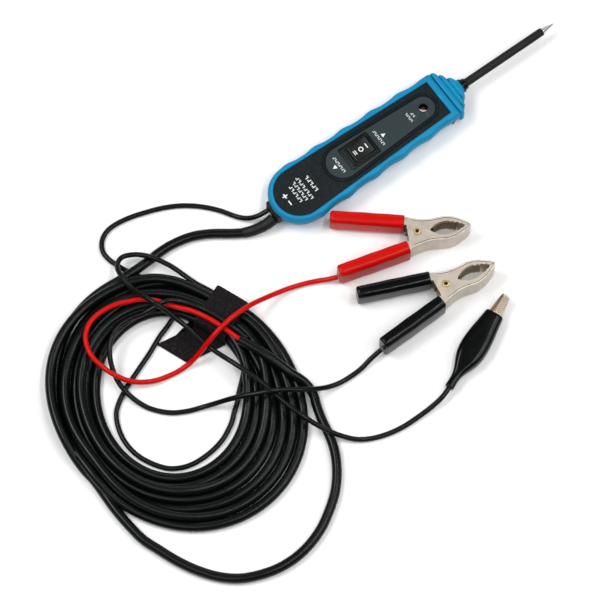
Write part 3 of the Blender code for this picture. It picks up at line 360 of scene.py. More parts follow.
def add_bump(tree, height, strength, distance_mm, below=None):
    node = tree.nodes.new("ShaderNodeBump")
    node.inputs["Strength"].default_value = strength
    node.inputs["Distance"].default_value = distance_mm * MM
    tree.links.new(height, node.inputs["Height"])
    if below is not None:
        tree.links.new(below, node.inputs["Normal"])
    return node.outputs["Normal"]


def surface(name, colour, roughness, metallic=0.0, tone=0.12, tone_per_m=90, grain=0.0,
            grain_per_mm=2.5, wear_and_highlight_edge=None, dust=0.0, coat=0.0, specular=0.5, uneven=0.08):
    """A material with patchy colour and gloss, a fine grain, and edges lightened partly as rubbed wear,
    partly as painted highlight.
    """
    made = bpy.data.materials.new(name)
    made.use_nodes = True
    tree = made.node_tree
    shader = tree.nodes["Principled BSDF"]
    shader.inputs["Metallic"].default_value = metallic
    shader.inputs["Specular IOR Level"].default_value = specular
    shader.inputs["Coat Weight"].default_value = coat
    shader.inputs["Coat Roughness"].default_value = 0.15
    coords = tree.nodes.new("ShaderNodeTexCoord").outputs["Object"]
    patches = add_noise(tree, coords, tone_per_m, 5.0)
    dark = tuple(v * (1 - tone) for v in colour)
    light = tuple(min(1.0, v * (1 + tone)) for v in colour)
    shade = add_mix(tree, add_range(tree, patches, 0.3, 0.7, 0.0, 1.0), dark, light)
    if dust:
        specks = add_range(tree, add_noise(tree, coords, 900, 6.0), 0.56, 0.72, 0.0, dust)
        shade = add_mix(tree, specks, shade, tuple(min(1.0, v * 0.6 + 0.12) for v in colour))
    # Lighter colour on sharp convex edges: partly rubbed wear, partly a painted highlight, as on the
    # clip plates' folds.
    if wear_and_highlight_edge:
        point = tree.nodes.new("ShaderNodeNewGeometry").outputs["Pointiness"]
        shade = add_mix(tree, add_range(tree, point, 0.52, 0.62, 0.0, 0.8), shade, wear_and_highlight_edge)
    tree.links.new(shade, shader.inputs["Base Color"])
    gloss = add_noise(tree, coords, tone_per_m * 3.1, 4.0)
    low, high = max(0.02, roughness - uneven), min(1.0, roughness + uneven)
    tree.links.new(add_range(tree, gloss, 0.3, 0.7, low, high), shader.inputs["Roughness"])
    if grain:
        fine = add_noise(tree, coords, grain_per_mm * 1000, 2.0)
        tree.links.new(add_bump(tree, fine, grain, 0.08), shader.inputs["Normal"])
    return made


WAVE_RATE = 20                  # a wave texture's radians for each metre, at scale 1


def woven(name, colour, turn):
    """Webbing: crossed ribs under a little lint."""
    made = surface(name, colour, 0.85, tone=0.3, tone_per_m=400, dust=0.2, specular=0.12)
    tree = made.node_tree
    shader = tree.nodes["Principled BSDF"]
    coords = tree.nodes.new("ShaderNodeTexCoord").outputs["Object"]
    turned_coords = tree.nodes.new("ShaderNodeMapping")
    turned_coords.inputs["Rotation"].default_value = (0, 0, math.radians(turn))
    tree.links.new(coords, turned_coords.inputs["Vector"])
    normal = None
    for direction, rib_mm in (("X", 5.658), ("Y", 4.4)):
        wave = tree.nodes.new("ShaderNodeTexWave")
        wave.bands_direction = direction
        wave.inputs["Scale"].default_value = 2 * math.pi / (WAVE_RATE * rib_mm * MM)
        wave.inputs["Distortion"].default_value = 0.6
        tree.links.new(turned_coords.outputs["Vector"], wave.inputs["Vector"])
        normal = add_bump(tree, wave.outputs["Fac"], 0.7, 0.25, normal)
    tree.links.new(normal, shader.inputs["Normal"])
    return made


BLUE = surface("blue_rubber", srgb(4, 128, 172), 0.48, tone=0.06, grain=0.22, grain_per_mm=3.0,
               wear_and_highlight_edge=srgb(30, 156, 196), specular=0.22)
CHARCOAL = surface("charcoal_plastic", srgb(15, 23, 26), 0.60, grain=0.8, grain_per_mm=1.8,
                   wear_and_highlight_edge=srgb(58, 66, 68), dust=0.14, specular=0.16)
SLATE = surface("slate_plastic", srgb(44, 55, 58), 0.55, tone=0.05, grain=0.35, grain_per_mm=3.5,
                wear_and_highlight_edge=srgb(80, 92, 95), specular=0.15)
BLACK = surface("black_plastic", srgb(11, 12, 12), 0.34, grain=0.12, wear_and_highlight_edge=srgb(44, 46, 46),
                specular=0.3)
ROCKER = surface("rocker_plastic", srgb(18, 20, 21), 0.40, grain=0.2, wear_and_highlight_edge=srgb(56, 59, 60),
                 specular=0.25)
CABLE = surface("cable_jacket", srgb(6, 9, 9), 0.28, tone=0.12, tone_per_m=60, specular=0.2,
                uneven=0.02)
BLACK_PVC = surface("black_pvc", srgb(5, 7, 7), 0.20, tone=0.08, tone_per_m=60, specular=0.2,
                    wear_and_highlight_edge=srgb(20, 23, 23), uneven=0.03)
RED_PVC = surface("red_pvc", srgb(192, 8, 3), 0.30, tone=0.03, tone_per_m=60, specular=0.16,
                  uneven=0.03)
SOCKET = surface("matte_rubber", srgb(17, 17, 17), 0.5, grain=0.2, grain_per_mm=1.5, specular=0.25)
NICKEL = surface("nickel_plate", srgb(196, 185, 170), 0.38, 0.6, tone=0.09, tone_per_m=140,
                 wear_and_highlight_edge=srgb(244, 240, 232))
JAW = surface("jaw_plate", srgb(196, 182, 160), 0.42, 0.5, tone=0.08, grain=0.12,
              wear_and_highlight_edge=srgb(240, 230, 210))
JAW_EDGE = surface("jaw_edge", srgb(132, 108, 84), 0.42, 0.5, tone=0.12, grain=0.12,
                   wear_and_highlight_edge=srgb(190, 170, 140))
STEEL = surface("bright_steel", srgb(190, 188, 184), 0.28, 0.9, tone=0.05, grain=0.05)
# Dark colour of the painted shade strip along the clip plates' fold, and of the alligator jaws' studs.
FOLD_SHADE_AND_STUD_DARK = surface("painted_fold_shade_and_studs", srgb(70, 60, 50), 0.5, 0.4, tone=0.2, tone_per_m=350)
# Bright colour of the painted highlight strip along the clip plates' fold.
FOLD_HIGHLIGHT = surface("painted_fold_highlight", srgb(244, 240, 234), 0.3, 0.5, tone=0.04)
BRASS = surface("brass", srgb(206, 180, 124), 0.36, 0.8, tone=0.1, wear_and_highlight_edge=srgb(236, 216, 170))
SPRING = surface("spring_wire", srgb(86, 66, 50), 0.45, 0.6, tone=0.25, tone_per_m=500)
LINING = surface("oxidised_lining", srgb(92, 58, 38), 0.5, 0.4, tone=0.25, tone_per_m=350)
MARK = surface("white_print", srgb(226, 230, 230), 0.55, tone=0.02, tone_per_m=600, specular=0.2)
LENS = surface("lamp_lens", srgb(40, 16, 18), 0.08, tone=0.2, coat=0.5)
# Pale colour of the painted highlight crescent in the lamp's ring.
LAMP_HIGHLIGHT = surface("lamp_painted_highlight", srgb(232, 214, 214), 0.25, tone=0.03)
BOARD = surface("circuit_board", srgb(32, 96, 58), 0.45, tone=0.15, tone_per_m=300)
RESISTOR = surface("resistor_body", srgb(196, 170, 120), 0.45, tone=0.1)
WEB = woven("strap_weave", srgb(22, 18, 19), -STRAP_TURN)
FLOOR = surface("studio_floor", srgb(246, 246, 246), 0.7, tone=0.004, tone_per_m=3, specular=0.2)


# ---- shapes --------------------------------------------------------------------------------------
def arc(centre, radius, start, end, steps):
    points = []
    for i in range(steps + 1):
        angle = math.radians(start + (end - start) * i / steps)
        points.append((centre[0] + radius * math.cos(angle), centre[1] + radius * math.sin(angle)))
    return points


def rounded_box(half_x, half_y, radius, steps=6, centre=(0.0, 0.0)):
    points = []
    for sign_x, sign_y, start in ((1, 1, 0), (-1, 1, 90), (-1, -1, 180), (1, -1, 270)):
        corner = (centre[0] + sign_x * (half_x - radius), centre[1] + sign_y * (half_y - radius))
        points += arc(corner, radius, start, start + 90, steps)
    return points


def box_outline(x0, x1, y0, y1):
    return [(x0, y0), (x1, y0), (x1, y1), (x0, y1)]


def inset(outline, distance):
    """Move every side of a closed counter-clockwise outline inwards by a distance."""
    moved = []
    count = len(outline)
    for i in range(count):
        before, here, after = (Vector(outline[(i + k) % count]) for k in (-1, 0, 1))
        first = (here - before).normalized()
        second = (after - here).normalized()
        normal_a = Vector((-first.y, first.x))
        normal_b = Vector((-second.y, second.x))
        middle = (normal_a + normal_b).normalized()
        moved.append(tuple(here + middle * (distance / max(0.5, middle.dot(normal_a)))))
    return moved


def smooth_line(points, spacing):
    """An (x, y) line made smooth, with a point at every spacing."""
    return [(x, y) for x, y, _ in smooth_route([(*p, 0.0) for p in points], spacing)]


def loft(rings, caps=True, closed=False):
    """A skin through a row of closed rings that have the same number of points."""
    bm = bmesh.new()
    rows = [[bm.verts.new(point) for point in ring] for ring in rings]
    count = len(rows[0])
    for low, high in zip(rows, rows[1:] + (rows[:1] if closed else [])):
        for i in range(count):
            bm.faces.new((low[i], low[(i + 1) % count], high[(i + 1) % count], high[i]))
    if caps and not closed:
        bm.faces.new(list(reversed(rows[0])))
        bm.faces.new(rows[-1])
    return bm


def level(outline, z):
    return [(x, y, z) for x, y in outline]


def prism(outline, low, high, round_top=0.0, round_bottom=0.0):
    """A block with an outline; its top and bottom edges can be rounded."""
    rings = []
    for k in range(4 if round_bottom else 0):
        turn = math.pi / 2 * k / 4
        rings.append(level(inset(outline, round_bottom * (1 - math.sin(turn))),
                           low + round_bottom * (1 - math.cos(turn))))
    rings.append(level(outline, low + round_bottom))
    rings.append(level(outline, high - round_top))
    for k in range(1, 5 if round_top else 1):
        turn = math.pi / 2 * k / 4
        rings.append(level(inset(outline, round_top * (1 - math.cos(turn))),
                           high - round_top * (1 - math.sin(turn))))
    return loft(rings)


def flip(outline, side):
    """An outline, or its mirror image across the line y = 0 where side is -1."""
    return [(x, y * side) for x, y in outline]


def side_prism(profile, y0, y1):
    """Extrude an (x, z) profile across the tester, along Y."""
    return loft([[(x, y, z) for x, z in profile] for y in (y0, y1)])


def turned(profile, steps, centre=(0.0, 0.0, 0.0), axis="Z", closed=False):
    """Turn (radius, height) points about an axis; a profile that doesn't close is capped."""
    rings = []
    for radius, height in profile:
        ring = []
        for i in range(steps):
            angle = 2 * math.pi * i / steps
            across, up = radius * math.cos(angle), radius * math.sin(angle)
            local = (across, up, height) if axis == "Z" else (height, across, up)
            ring.append(Vector(local) + Vector(centre))
        rings.append(ring)
    return loft(rings, closed=closed)


def bore(radius, low, high, steps, centre=(0.0, 0.0, 0.0), axis="Z"):
    """A plain round cutter or peg."""
    return turned([(radius, low), (radius, high)], steps, centre, axis)


def tube(points, radius, sides):
    """A round tube with flat ends along a line of points; the radius may change along it."""
    points = [Vector(p) for p in points]
    side = None
    rings = []
    for i, point in enumerate(points):
        ahead = (points[min(i + 1, len(points) - 1)] - points[max(i - 1, 0)]).normalized()
        if side is None:
            side = ahead.orthogonal().normalized()
        side = (side - ahead * side.dot(ahead)).normalized()
        up = ahead.cross(side)
        size = radius[i] if isinstance(radius, (list, tuple)) else radius
        rings.append([point + (side * math.cos(a) + up * math.sin(a)) * size
                      for a in (2 * math.pi * k / sides for k in range(sides))])
    return loft(rings)


def join(*parts):
    """Several bmeshes as one, left as separate shells."""
    whole = parts[0]
    for part in parts[1:]:
        mesh = bpy.data.meshes.new("part")
        part.to_mesh(mesh)
        part.free()
        whole.from_mesh(mesh)
        bpy.data.meshes.remove(mesh)
    return whole


def as_object(bm, name="tool"):
    bmesh.ops.recalc_face_normals(bm, faces=bm.faces)
    mesh = bpy.data.meshes.new(name)
    bm.to_mesh(mesh)
    bm.free()
    made = bpy.data.objects.new(name, mesh)
    bpy.context.scene.collection.objects.link(made)
    return made


def combined(bm, *others, operation="DIFFERENCE"):
    """A bmesh cut by, or united with, other ones, one after another."""
    for other in others:
        target, tool = as_object(bm), as_object(other)
        modifier = target.modifiers.new("cut", "BOOLEAN")
        modifier.operation = operation
        modifier.object = tool
        bpy.context.view_layer.update()
        bm = bmesh.new()
        bm.from_object(target, bpy.context.evaluated_depsgraph_get())
        for old in (target, tool):
            mesh = old.data
            bpy.data.objects.remove(old)
            bpy.data.meshes.remove(mesh)
    return bm


def round_folds(bm, count, edge_numbers, radius):
    """Round the edges of a lofted plate, bottom and top, along a stretch of its outline."""
    bm.verts.ensure_lookup_table()
    folds = []
    for i in edge_numbers:
        for base in (0, count):
            folds.append(bm.edges.get((bm.verts[base + i], bm.verts[base + i + 1])))
    bmesh.ops.bevel(bm, geom=folds, offset=radius, segments=4, profile=0.5, affect="EDGES")


def place(bm, matrix):
    bmesh.ops.transform(bm, matrix=matrix, verts=bm.verts)
    return bm


def attach(made, body, nodes, slot):
    """Let a piece ride on a body and stand for its CAD nodes, which it hides; slot is not used."""
    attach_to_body(made, body)
    if nodes:
        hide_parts(*nodes)
    return made


def turned_to(spot, degrees):
    """A place on the ground plane and a turn about the vertical there."""
    return Matrix.Translation((*spot, 0)) @ Matrix.Rotation(math.radians(degrees), 4, "Z")


def piece(name, bm, skin, body="tester", nodes=(), slot="", bevel=0.0, subdivide=0, sharp=32.0):
    """Turn a bmesh in millimetres into a finished piece that rides on a body."""
    bmesh.ops.scale(bm, verts=bm.verts, vec=(MM, MM, MM))
    made = as_object(bm, name)
    made.data.materials.append(skin)
    made.data.shade_smooth()
    made.data.set_sharp_from_angle(angle=math.radians(sharp))
    if bevel:
        rounding = made.modifiers.new("edges", "BEVEL")
        rounding.width = bevel * MM
        rounding.segments = 3
        rounding.limit_method = "ANGLE"
        rounding.angle_limit = math.radians(sharp)
    if subdivide:
        smooth = made.modifiers.new("smooth", "SUBSURF")
        smooth.levels = smooth.render_levels = subdivide
    if bevel:
        made.modifiers.new("shading", "WEIGHTED_NORMAL").keep_sharp = True
    return attach(made, body, nodes, slot)


# ---- cords ---------------------------------------------------------------------------------------
RELIEF_LENGTH, RELIEF_STEP, RELIEF_WIDE, RELIEF_SLIM = 24.0, 0.5, 0.8, 0.25
RELIEF_RIB, RELIEF_RIBS = 0.16, 6
CABLE_STEP, LEAD_STEP = 2.5, 2.0


def cord_curve(name, points, radius, skin, nodes, slot, sides=4):
    """A cord as a round curve through its points."""
    curve = bpy.data.curves.new(name, "CURVE")
    curve.dimensions = "3D"
    curve.bevel_depth = radius * MM
    curve.bevel_resolution = sides
    curve.use_fill_caps = True
    spline = curve.splines.new("POLY")
    spline.points.add(len(points) - 1)
    for target, point in zip(spline.points, points):
        target.co = (*(float(v) * MM for v in point), 1.0)
    spline.use_smooth = True
    curve.materials.append(skin)
    made = bpy.data.objects.new(name, curve)
    bpy.context.scene.collection.objects.link(made)
    return attach(made, "tester", nodes, slot)


def declare(cord, start, route, radius, **facts):
    """Work out where a cord leaves the object and its length, in metres, and keep neither; cord, radius
    and facts are not used.
    """
    tuple(float(v) * MM for v in start)
    round(cord_length_m(route), 3)


def exit_sleeve():
    """Tapered, ribbed strain relief over the supply cable's first stretch."""
    line = smooth_route(MAIN_LEAD, RELIEF_STEP)[:round(RELIEF_LENGTH / RELIEF_STEP)]
    radii = []
    for i in range(len(line)):
        along = i / (len(line) - 1)
        rib = RELIEF_RIB * max(0.0, math.sin(along * math.pi * 2 * RELIEF_RIBS)) * (1 - along)
        radii.append(MAIN_RADIUS + RELIEF_WIDE + (RELIEF_SLIM - RELIEF_WIDE) * along ** 0.8 + rib)
    return piece("supply_strain_relief", tube(line, radii, 24), SOCKET, slot="black_plastic")


def lay_cords():
    """The four cords' points, once the coil's turns have settled round what crosses them."""
    cable, ground, limits = coil_strands()
    hidden = GROUND_FIRST[-2:] + GROUND_UNDER + GROUND_INNER
    others = [crossing(LOOP_RETURN, MAIN_RADIUS), crossing(hidden, LEAD_RADIUS)]
    settle([cable, ground] + others, limits)
    ease(cable, limits)
    ease(ground, limits)
    supply = MAIN_LEAD[:-1] + strand_points(cable)[::2] + LOOP_START + MAIN_LOOP[::-1] + LOOP_RETURN
    thin = GROUND_FIRST + GROUND_UNDER + GROUND_INNER + strand_points(ground)[1:-2:2] + GROUND_LAST
    leads = [thin + [gator_tail()], RED_LEAD + [sleeve_mouth("red")],
             BLACK_LEAD + [sleeve_mouth("black")]]
    return [smooth_route(supply, CABLE_STEP)] + [smooth_route(lead, LEAD_STEP) for lead in leads]


def cords():
    """The supply cable, its two leads and the ground lead, as free cords."""
    supply, thin, red, black = lay_cords()
    relief = exit_sleeve()
    main = cord_curve("supply_cable", supply, MAIN_RADIUS, CABLE,
                      ["main_cable_lead", "cable_coil", "main_cable_loop"], "cable_black", 6)
    clip_names = ("fixed_grip", "fixed_jaw", "fixed_sleeve", "rivet")
    for name, route, skin, slot in (("red", red, RED_PVC, "red_pvc"),
                                    ("black", black, CABLE, "cable_black")):
        lead = cord_curve(f"{name}_supply_lead", route, LEAD_RADIUS, skin, [f"{name}_lead"], slot)
        declare(lead, route[0], route, LEAD_RADIUS, far_end="tool", stiffness="limp", lay="loose",
                with_pieces=[f"{name}_clip_{part}" for part in clip_names])
    declare(main, MAIN_LEAD[0], supply, MAIN_RADIUS, far_end="bare", stiffness="medium",
            lay="coiled", with_pieces=[relief])
    ground = cord_curve("ground_lead", thin, LEAD_RADIUS, CABLE,
                        ["ground_lead_first", "ground_lead_inner", "ground_lead_last"], "cable_black")
    declare(ground, GROUND_FIRST[0], thin, LEAD_RADIUS, far_end="tool", stiffness="limp", lay="loose",
            with_pieces=["ground_clip_boot_skin", "ground_clip_fixed_jaw_plate"])


# ---- tester: grip and covers ---------------------------------------------------------------------
FLANGE_X, FLANGE_HALF = 27.0, 19.3
END_X, END_RADIUS = -99.0, 22.3
RIM_Z = 19.2
WAVE_PERIOD, WAVE_HEIGHT, WAVE_PEAK_X = 23.5, 0.6, -47.5
PANEL_X, PANEL_HALF, PANEL_END_RADIUS = 20.5, 13.8, 17.9
PANEL_TOP = 18.4
PARTING_Z = 10.5
WALL = 1.9                      # thickness of both covers
FIT = 0.3                       # play between the grip and the covers
FACE_WIDE_X, FACE_WIDE_R = -62.0, 12.0
FACE_SLIM_X, FACE_SLIM_R = 7.5, 8.5
FACE_TOP = 18.6
AXIS_Z = 11.2
SCREWS = [(15.2, 6.5), (15.2, -6.5), (-92.0, 10.2), (-92.0, -10.2)]
SIDE_STEPS, END_STEPS, CORNER_STEPS, FRONT_STEPS = 120, 44, 6, 10   # points on each outline
TAPER = 3.3                     # what each side loses from the cord end to the flange
FLARE_X, FLARE_LENGTH = 14.0, 8.0
# Underside of the hull: height, and how far its sides draw in there.
HULL = ((9.0, 0.0), (5.0, 1.4), (1.5, 2.2))


def grip_half_width(x):
    """Half width of the grip at a place along it: a slow taper, finger waves and the flange."""
    along = max(0.0, (x - END_X) / (FLANGE_X - END_X))
    taper = END_RADIUS - TAPER * along
    phase = 2 * math.pi * (x - WAVE_PEAK_X) / WAVE_PERIOD
    wave = WAVE_HEIGHT * (math.cos(phase) + 0.16 * math.cos(2 * phase))
    rise = min(1.0, max(0.0, (x - FLARE_X) / FLARE_LENGTH))
    rise = rise * rise * (3 - 2 * rise)
    return (taper + wave) * (1 - rise) + FLANGE_HALF * rise


def ring_outline(front_x, front_half, corner, end_radius, half_width):
    """A closed outline from the flange corner round the cord end, always with the same points."""
    upper = arc((front_x - corner, front_half - corner), corner, 0, 90, CORNER_STEPS)
    start = front_x - corner
    for i in range(1, SIDE_STEPS + 1):
        x = start + (END_X - start) * i / SIDE_STEPS
        upper.append((x, half_width(x)))
    end = arc((END_X, 0), end_radius, 90, 270, END_STEPS)[1:-1]
    lower = [(x, -y) for x, y in reversed(upper)]
    reach = front_half - corner
    front = [(front_x, -reach * (1 - 2 * i / FRONT_STEPS)) for i in range(1, FRONT_STEPS)]
    return upper + end + lower + front


def panel_outline(margin=0.0, corner=0.5, draw_in=0.0):
    """The panel: square at the probe end, round at the cord end; draw_in leaves the square end."""
    side = margin + draw_in

    def half_width(x):
        return PANEL_HALF + (PANEL_END_RADIUS - PANEL_HALF) * (PANEL_X - x) / (PANEL_X - END_X) - side

    return ring_outline(PANEL_X - margin, PANEL_HALF - side, corner, PANEL_END_RADIUS - side,
                        half_width)


def face_outline(margin=0.0):
    """The face plate's outline, with points that match the panel's."""
    slim, wide = FACE_SLIM_R - margin, FACE_WIDE_R - margin
    quarter = arc((FACE_SLIM_X, 0), slim, 45, 90, CORNER_STEPS)
    upper = quarter + [(FACE_SLIM_X + (FACE_WIDE_X - FACE_SLIM_X) * i / SIDE_STEPS,
                        slim + (wide - slim) * i / SIDE_STEPS) for i in range(1, SIDE_STEPS + 1)]
    end = arc((FACE_WIDE_X, 0), wide, 90, 270, END_STEPS)[1:-1]
    lower = [(x, -y) for x, y in reversed(upper)]
    return upper + end + lower + arc((FACE_SLIM_X, 0), slim, -45, 45, FRONT_STEPS)[1:-1]


def blend(first, second, part):
    return [tuple(Vector(a).lerp(Vector(b), part)) for a, b in zip(first, second)]


def grip():
    """Rubber grip: bulged side walls with finger waves, a soft rim and a raised lip round the panel."""
    wall = [(0.6, 5.2), (0.75, 4.9), (1.4, 4.5), (2.6, 4.0), (4.5, 3.1), (6.5, 2.2), (8.5, 1.4),
            (10.5, 0.7), (12.5, 0.2), (14.5, 0.0), (15.6, 0.05), (16.8, 0.35), (17.8, 0.8),
            (18.5, 1.35), (18.95, 1.95)]
    outer = ring_outline(FLANGE_X, FLANGE_HALF, 2.2, END_RADIUS, grip_half_width)
    rings = [level(panel_outline(draw_in=draw_in), z) for z, draw_in in HULL]
    rings.append(level(panel_outline(-0.4, draw_in=2.2), 0.7))
    rings += [level(inset(outer, depth), z) for z, depth in wall]
    crest, lip = inset(outer, 2.3), panel_outline(-1.0, 1.0)
    rings += [level(blend(crest, lip, part), z) for part, z in ((0.1, RIM_Z - 0.06), (0.6, RIM_Z))]
    for margin, fall in ((-0.95, 0.1), (-0.88, 0.25), (-0.78, 0.15), (-0.68, 0.0), (-0.58, 0.02),
                         (-0.5, 0.25), (-0.5, 1.6), (0.0, 2.2), (0.0, 5.0)):
        rings.append(level(panel_outline(margin, 0.8), RIM_Z - fall))
    body = loft(rings, closed=True)
    body = combined(body, prism(rounded_box(8.0, 8.3, 2.0, 4, (-118.0, 0.7)), 5.0, 15.5),
                    bore(2.7, 17.0, 30.0, 24, (0, 0, AXIS_Z), "X"))
    piece("rubber_grip", body, BLUE, nodes=["grip"], slot="blue_rubber")


def switch_hole():
    return prism(rounded_box(12.3, 9.4, 1.2, 3, (SWITCH_X - 1.3, 0)), 5.0, 30.0)


def lamp_hole(radius):
    return bore(radius, 5.0, 30.0, 40, (FACE_SLIM_X, 0, 0))


def front_cover():
    """Grained front cover: grooves and a raised ridge run round the seat of the face plate."""
    rings = [level(panel_outline(margin), z) for margin, z in (
        (FIT, PARTING_Z + 0.3), (FIT, PANEL_TOP - 1.6), (-0.3, PANEL_TOP - 1.0),
        (-0.3, PANEL_TOP - 0.4), (-0.15, PANEL_TOP - 0.12), (0.2, PANEL_TOP))]
    for margin, rise in ((-2.75, 0.0), (-2.6, -0.12), (-2.5, -0.65), (-2.15, -0.65), (-2.05, 0.0),
                         (-1.85, 0.22), (-1.2, 0.22), (-1.0, 0.0), (-0.9, -0.8), (0.6, -0.9)):
        rings.append(level(face_outline(margin), PANEL_TOP + rise))
    heights = (PARTING_Z - 1.0, PANEL_TOP - 1.0 - WALL / 2)
    space = loft([level(panel_outline(WALL + FIT), z) for z in heights])
    body = combined(loft(rings), space, switch_hole(), lamp_hole(3.7))
    piece("panel_cover", body, CHARCOAL, nodes=["front_cover"], slot="charcoal_plastic", bevel=0.08)


def rear_cover():
    """Back of the tester: a hull with four screw seats and a blank label field."""
    levels = [(PARTING_Z - 0.1, 0.0, 0.0)] + [(z, 0.0, draw_in) for z, draw_in in HULL]
    levels += [(0.7, 0.3, 2.3), (0.2, 0.9, 2.4), (0.0, 1.6, 2.5)]
    body = loft([level(panel_outline(FIT + margin, draw_in=side), z) for z, margin, side in levels])
    space = [(PARTING_Z + 1.0, 0.0), *HULL[:2], (WALL, 2.1)]
    cuts = [loft([level(panel_outline(WALL + FIT, draw_in=draw_in), z) for z, draw_in in space]),
            prism(rounded_box(24.0, 9.5, 2.0, 5, (-40.0, 0)), -1.0, 0.45)]
    for spot in SCREWS:
        cuts.append(turned([(3.0, -1.0), (3.0, 1.25), (1.8, 1.3), (1.8, 5.0)], 28, (*spot, 0)))
    for i in range(5):
        groove = rounded_box(0.5, 8.0 - 0.5 * abs(i - 4), 0.45, 3, (-108.0 + 3.2 * i, 0))
        cuts.append(prism(groove, -1.0, 0.5))
    body = combined(body, *cuts)
    piece("rear_shell", body, CHARCOAL, nodes=["rear_cover"], slot="charcoal_plastic", bevel=0.1)
    for i, spot in enumerate(SCREWS):
        profile = [(2.2, 0.3), (2.55, 0.45), (2.6, 0.75), (2.6, 0.95), (1.3, 1.0), (1.3, 9.0),
                   (0.6, 10.0)]
        head = turned(profile, 28, (*spot, 0))
        for turn in (20 * i, 20 * i + 90):
            slot_cut = prism(rounded_box(1.7, 0.35, 0.2, 2), 0.0, 0.8)
            head = combined(head, place(slot_cut, turned_to(spot, turn)))
        piece(f"cover_screw_{i + 1}", head, STEEL, nodes=[f"case_screw_{i + 1}"], slot="steel",
              bevel=0.05)


def face_plate():
    body = combined(prism(face_outline(0.15), FACE_TOP - 1.0, FACE_TOP, round_top=0.25),
                    switch_hole(), lamp_hole(3.5))
    piece("face_label_plate", body, SLATE, nodes=["face_plate"], slot="slate_plastic", bevel=0.08)


# ---- tester: printed marks -----------------------------------------------------------------------
INK = 0.05


def ticks(x, half_length, height, count):
    """A row of plain tick pairs across the tester: a long tick, and a short one high or low."""
    pitch = 2 * half_length / (count - 0.35)
    shapes = []
    for i in range(count):
        y = -half_length + i * pitch
        low, middle, high = x - height / 2, x + height * 0.1 * (-1) ** i, x + height / 2
        shapes.append(box_outline(low, high, y, y + 0.24 * pitch))
        short = (low, middle) if i % 2 else (middle, high)
        shapes.append(box_outline(*short, y + 0.40 * pitch, y + 0.65 * pitch))
    return shapes


def triangle(tip_x, way):
    """A triangle on the middle line; way is 1 where it points to the probe."""
    base, half = tip_x - way * 3.0, 1.6 * way
    return [[(tip_x, 0.0), (base, half), (base, -half)]]


def bar(x, y, half_x, half_y):
    return box_outline(x - half_x, x + half_x, y - half_y, y + half_y)


def printed(name, shapes, z):
    """Flat ink a few hundredths of a millimetre thick; neighbours differ a little in height."""
    parts = []
    for i, shape in enumerate(shapes):
        parts.append(prism(shape, z - INK, z + 0.03 + 0.002 * (i % 2)))
    piece(name, join(*parts), MARK, slot="charcoal_plastic")


def print_marks():
    """Plain marks where the tester has its print."""
    shapes = triangle(-25.4, 1) + ticks(-31.0, 6.3, 1.9, 8)
    shapes += triangle(-70.6, -1) + ticks(-65.2, 6.6, 1.9, 8)
    shapes += ticks(-1.6, 1.7, 1.7, 2) + ticks(-4.8, 3.6, 1.7, 5)
    printed("face_marks", shapes, FACE_TOP)
    shapes = []
    rows = ((-88.9, 6.4, 2.7, 5), (-94.8, 9.4, 2.3, 8), (-98.6, 8.0, 2.3, 7), (-102.4, 6.8, 2.3, 6))
    for row in rows:
        shapes += ticks(*row)
    # A plus and a minus sign.
    shapes += [bar(-109.4, 3.0, 0.45, 1.9), bar(-109.4, 3.0, 1.9, 0.45), bar(-109.4, -3.0, 0.45, 1.9)]
    printed("cover_marks", shapes, PANEL_TOP)


# ---- tester: switch and lamp ---------------------------------------------------------------------
SWITCH_X, PIVOT_Z = -46.5, 15.5
ROCKER_HALF_Y = 5.9
ROCKER_RADIUS, ROCKER_TOP = 9.3, 5.33
WELL_HALF = (8.75, 6.25)


def barrel_outline(half_x, half_y, bulge, corner):
    """A rounded box whose long sides bow outwards."""
    return [(SWITCH_X + x, y + math.copysign(bulge * (1 - (x / half_x) ** 2), y))
            for x, y in rounded_box(half_x, half_y, corner, 5)]


def switch():
    """Switch body: a flat seat, two steps at the cord end and a bowed frame round the rocker."""
    centre = (SWITCH_X, 0.0)
    top = PANEL_TOP
    seat = prism(rounded_box(12.1, 9.1, 1.0, 4, (SWITCH_X - 1.2, 0)), top - 1.4, top - 0.5,
                 round_top=0.15)
    can = prism(rounded_box(10.8, 8.0, 0.6, 3, centre), top - 11.9, top - 1.2)
    step = prism(rounded_box(1.5, 8.2, 0.5, 3, (SWITCH_X - 11.2, 0)), top - 0.8, top, round_top=0.3)
    tray_outline = rounded_box(10.7, 8.0, 1.6, 4, (SWITCH_X - 0.2, 0))
    tray = prism(tray_outline, top - 0.8, top + 0.1, round_top=0.35)
    collar = prism(barrel_outline(9.9, 7.0, 0.9, 1.8), top - 0.6, top + 1.2, round_top=0.5)
    body = combined(seat, can, step, tray, collar, operation="UNION")
    sweep = arc((SWITCH_X, PIVOT_Z), ROCKER_RADIUS + 0.25, 0, 350, 35)
    body = combined(body, prism(rounded_box(*WELL_HALF, 0.7, 4, centre), top - 10.4, 30.0),
                    side_prism(sweep, -WELL_HALF[1], WELL_HALF[1]),
                    side_prism(arc((SWITCH_X, PIVOT_Z), 1.4, 0, 345, 23), -7.4, 7.4))
    piece("switch_frame", body, BLACK, nodes=["switch_body"], slot="black_plastic", bevel=0.1)


def rocker_height(x):
    """Height of the rocker's dished top above its pivot."""
    return 4.35 + 0.95 * (x / 7.6) ** 2


def from_pivot(points):
    """Points given from the rocker's pivot, as an (x, z) profile."""
    return [(SWITCH_X + x, PIVOT_Z + z) for x, z in points]


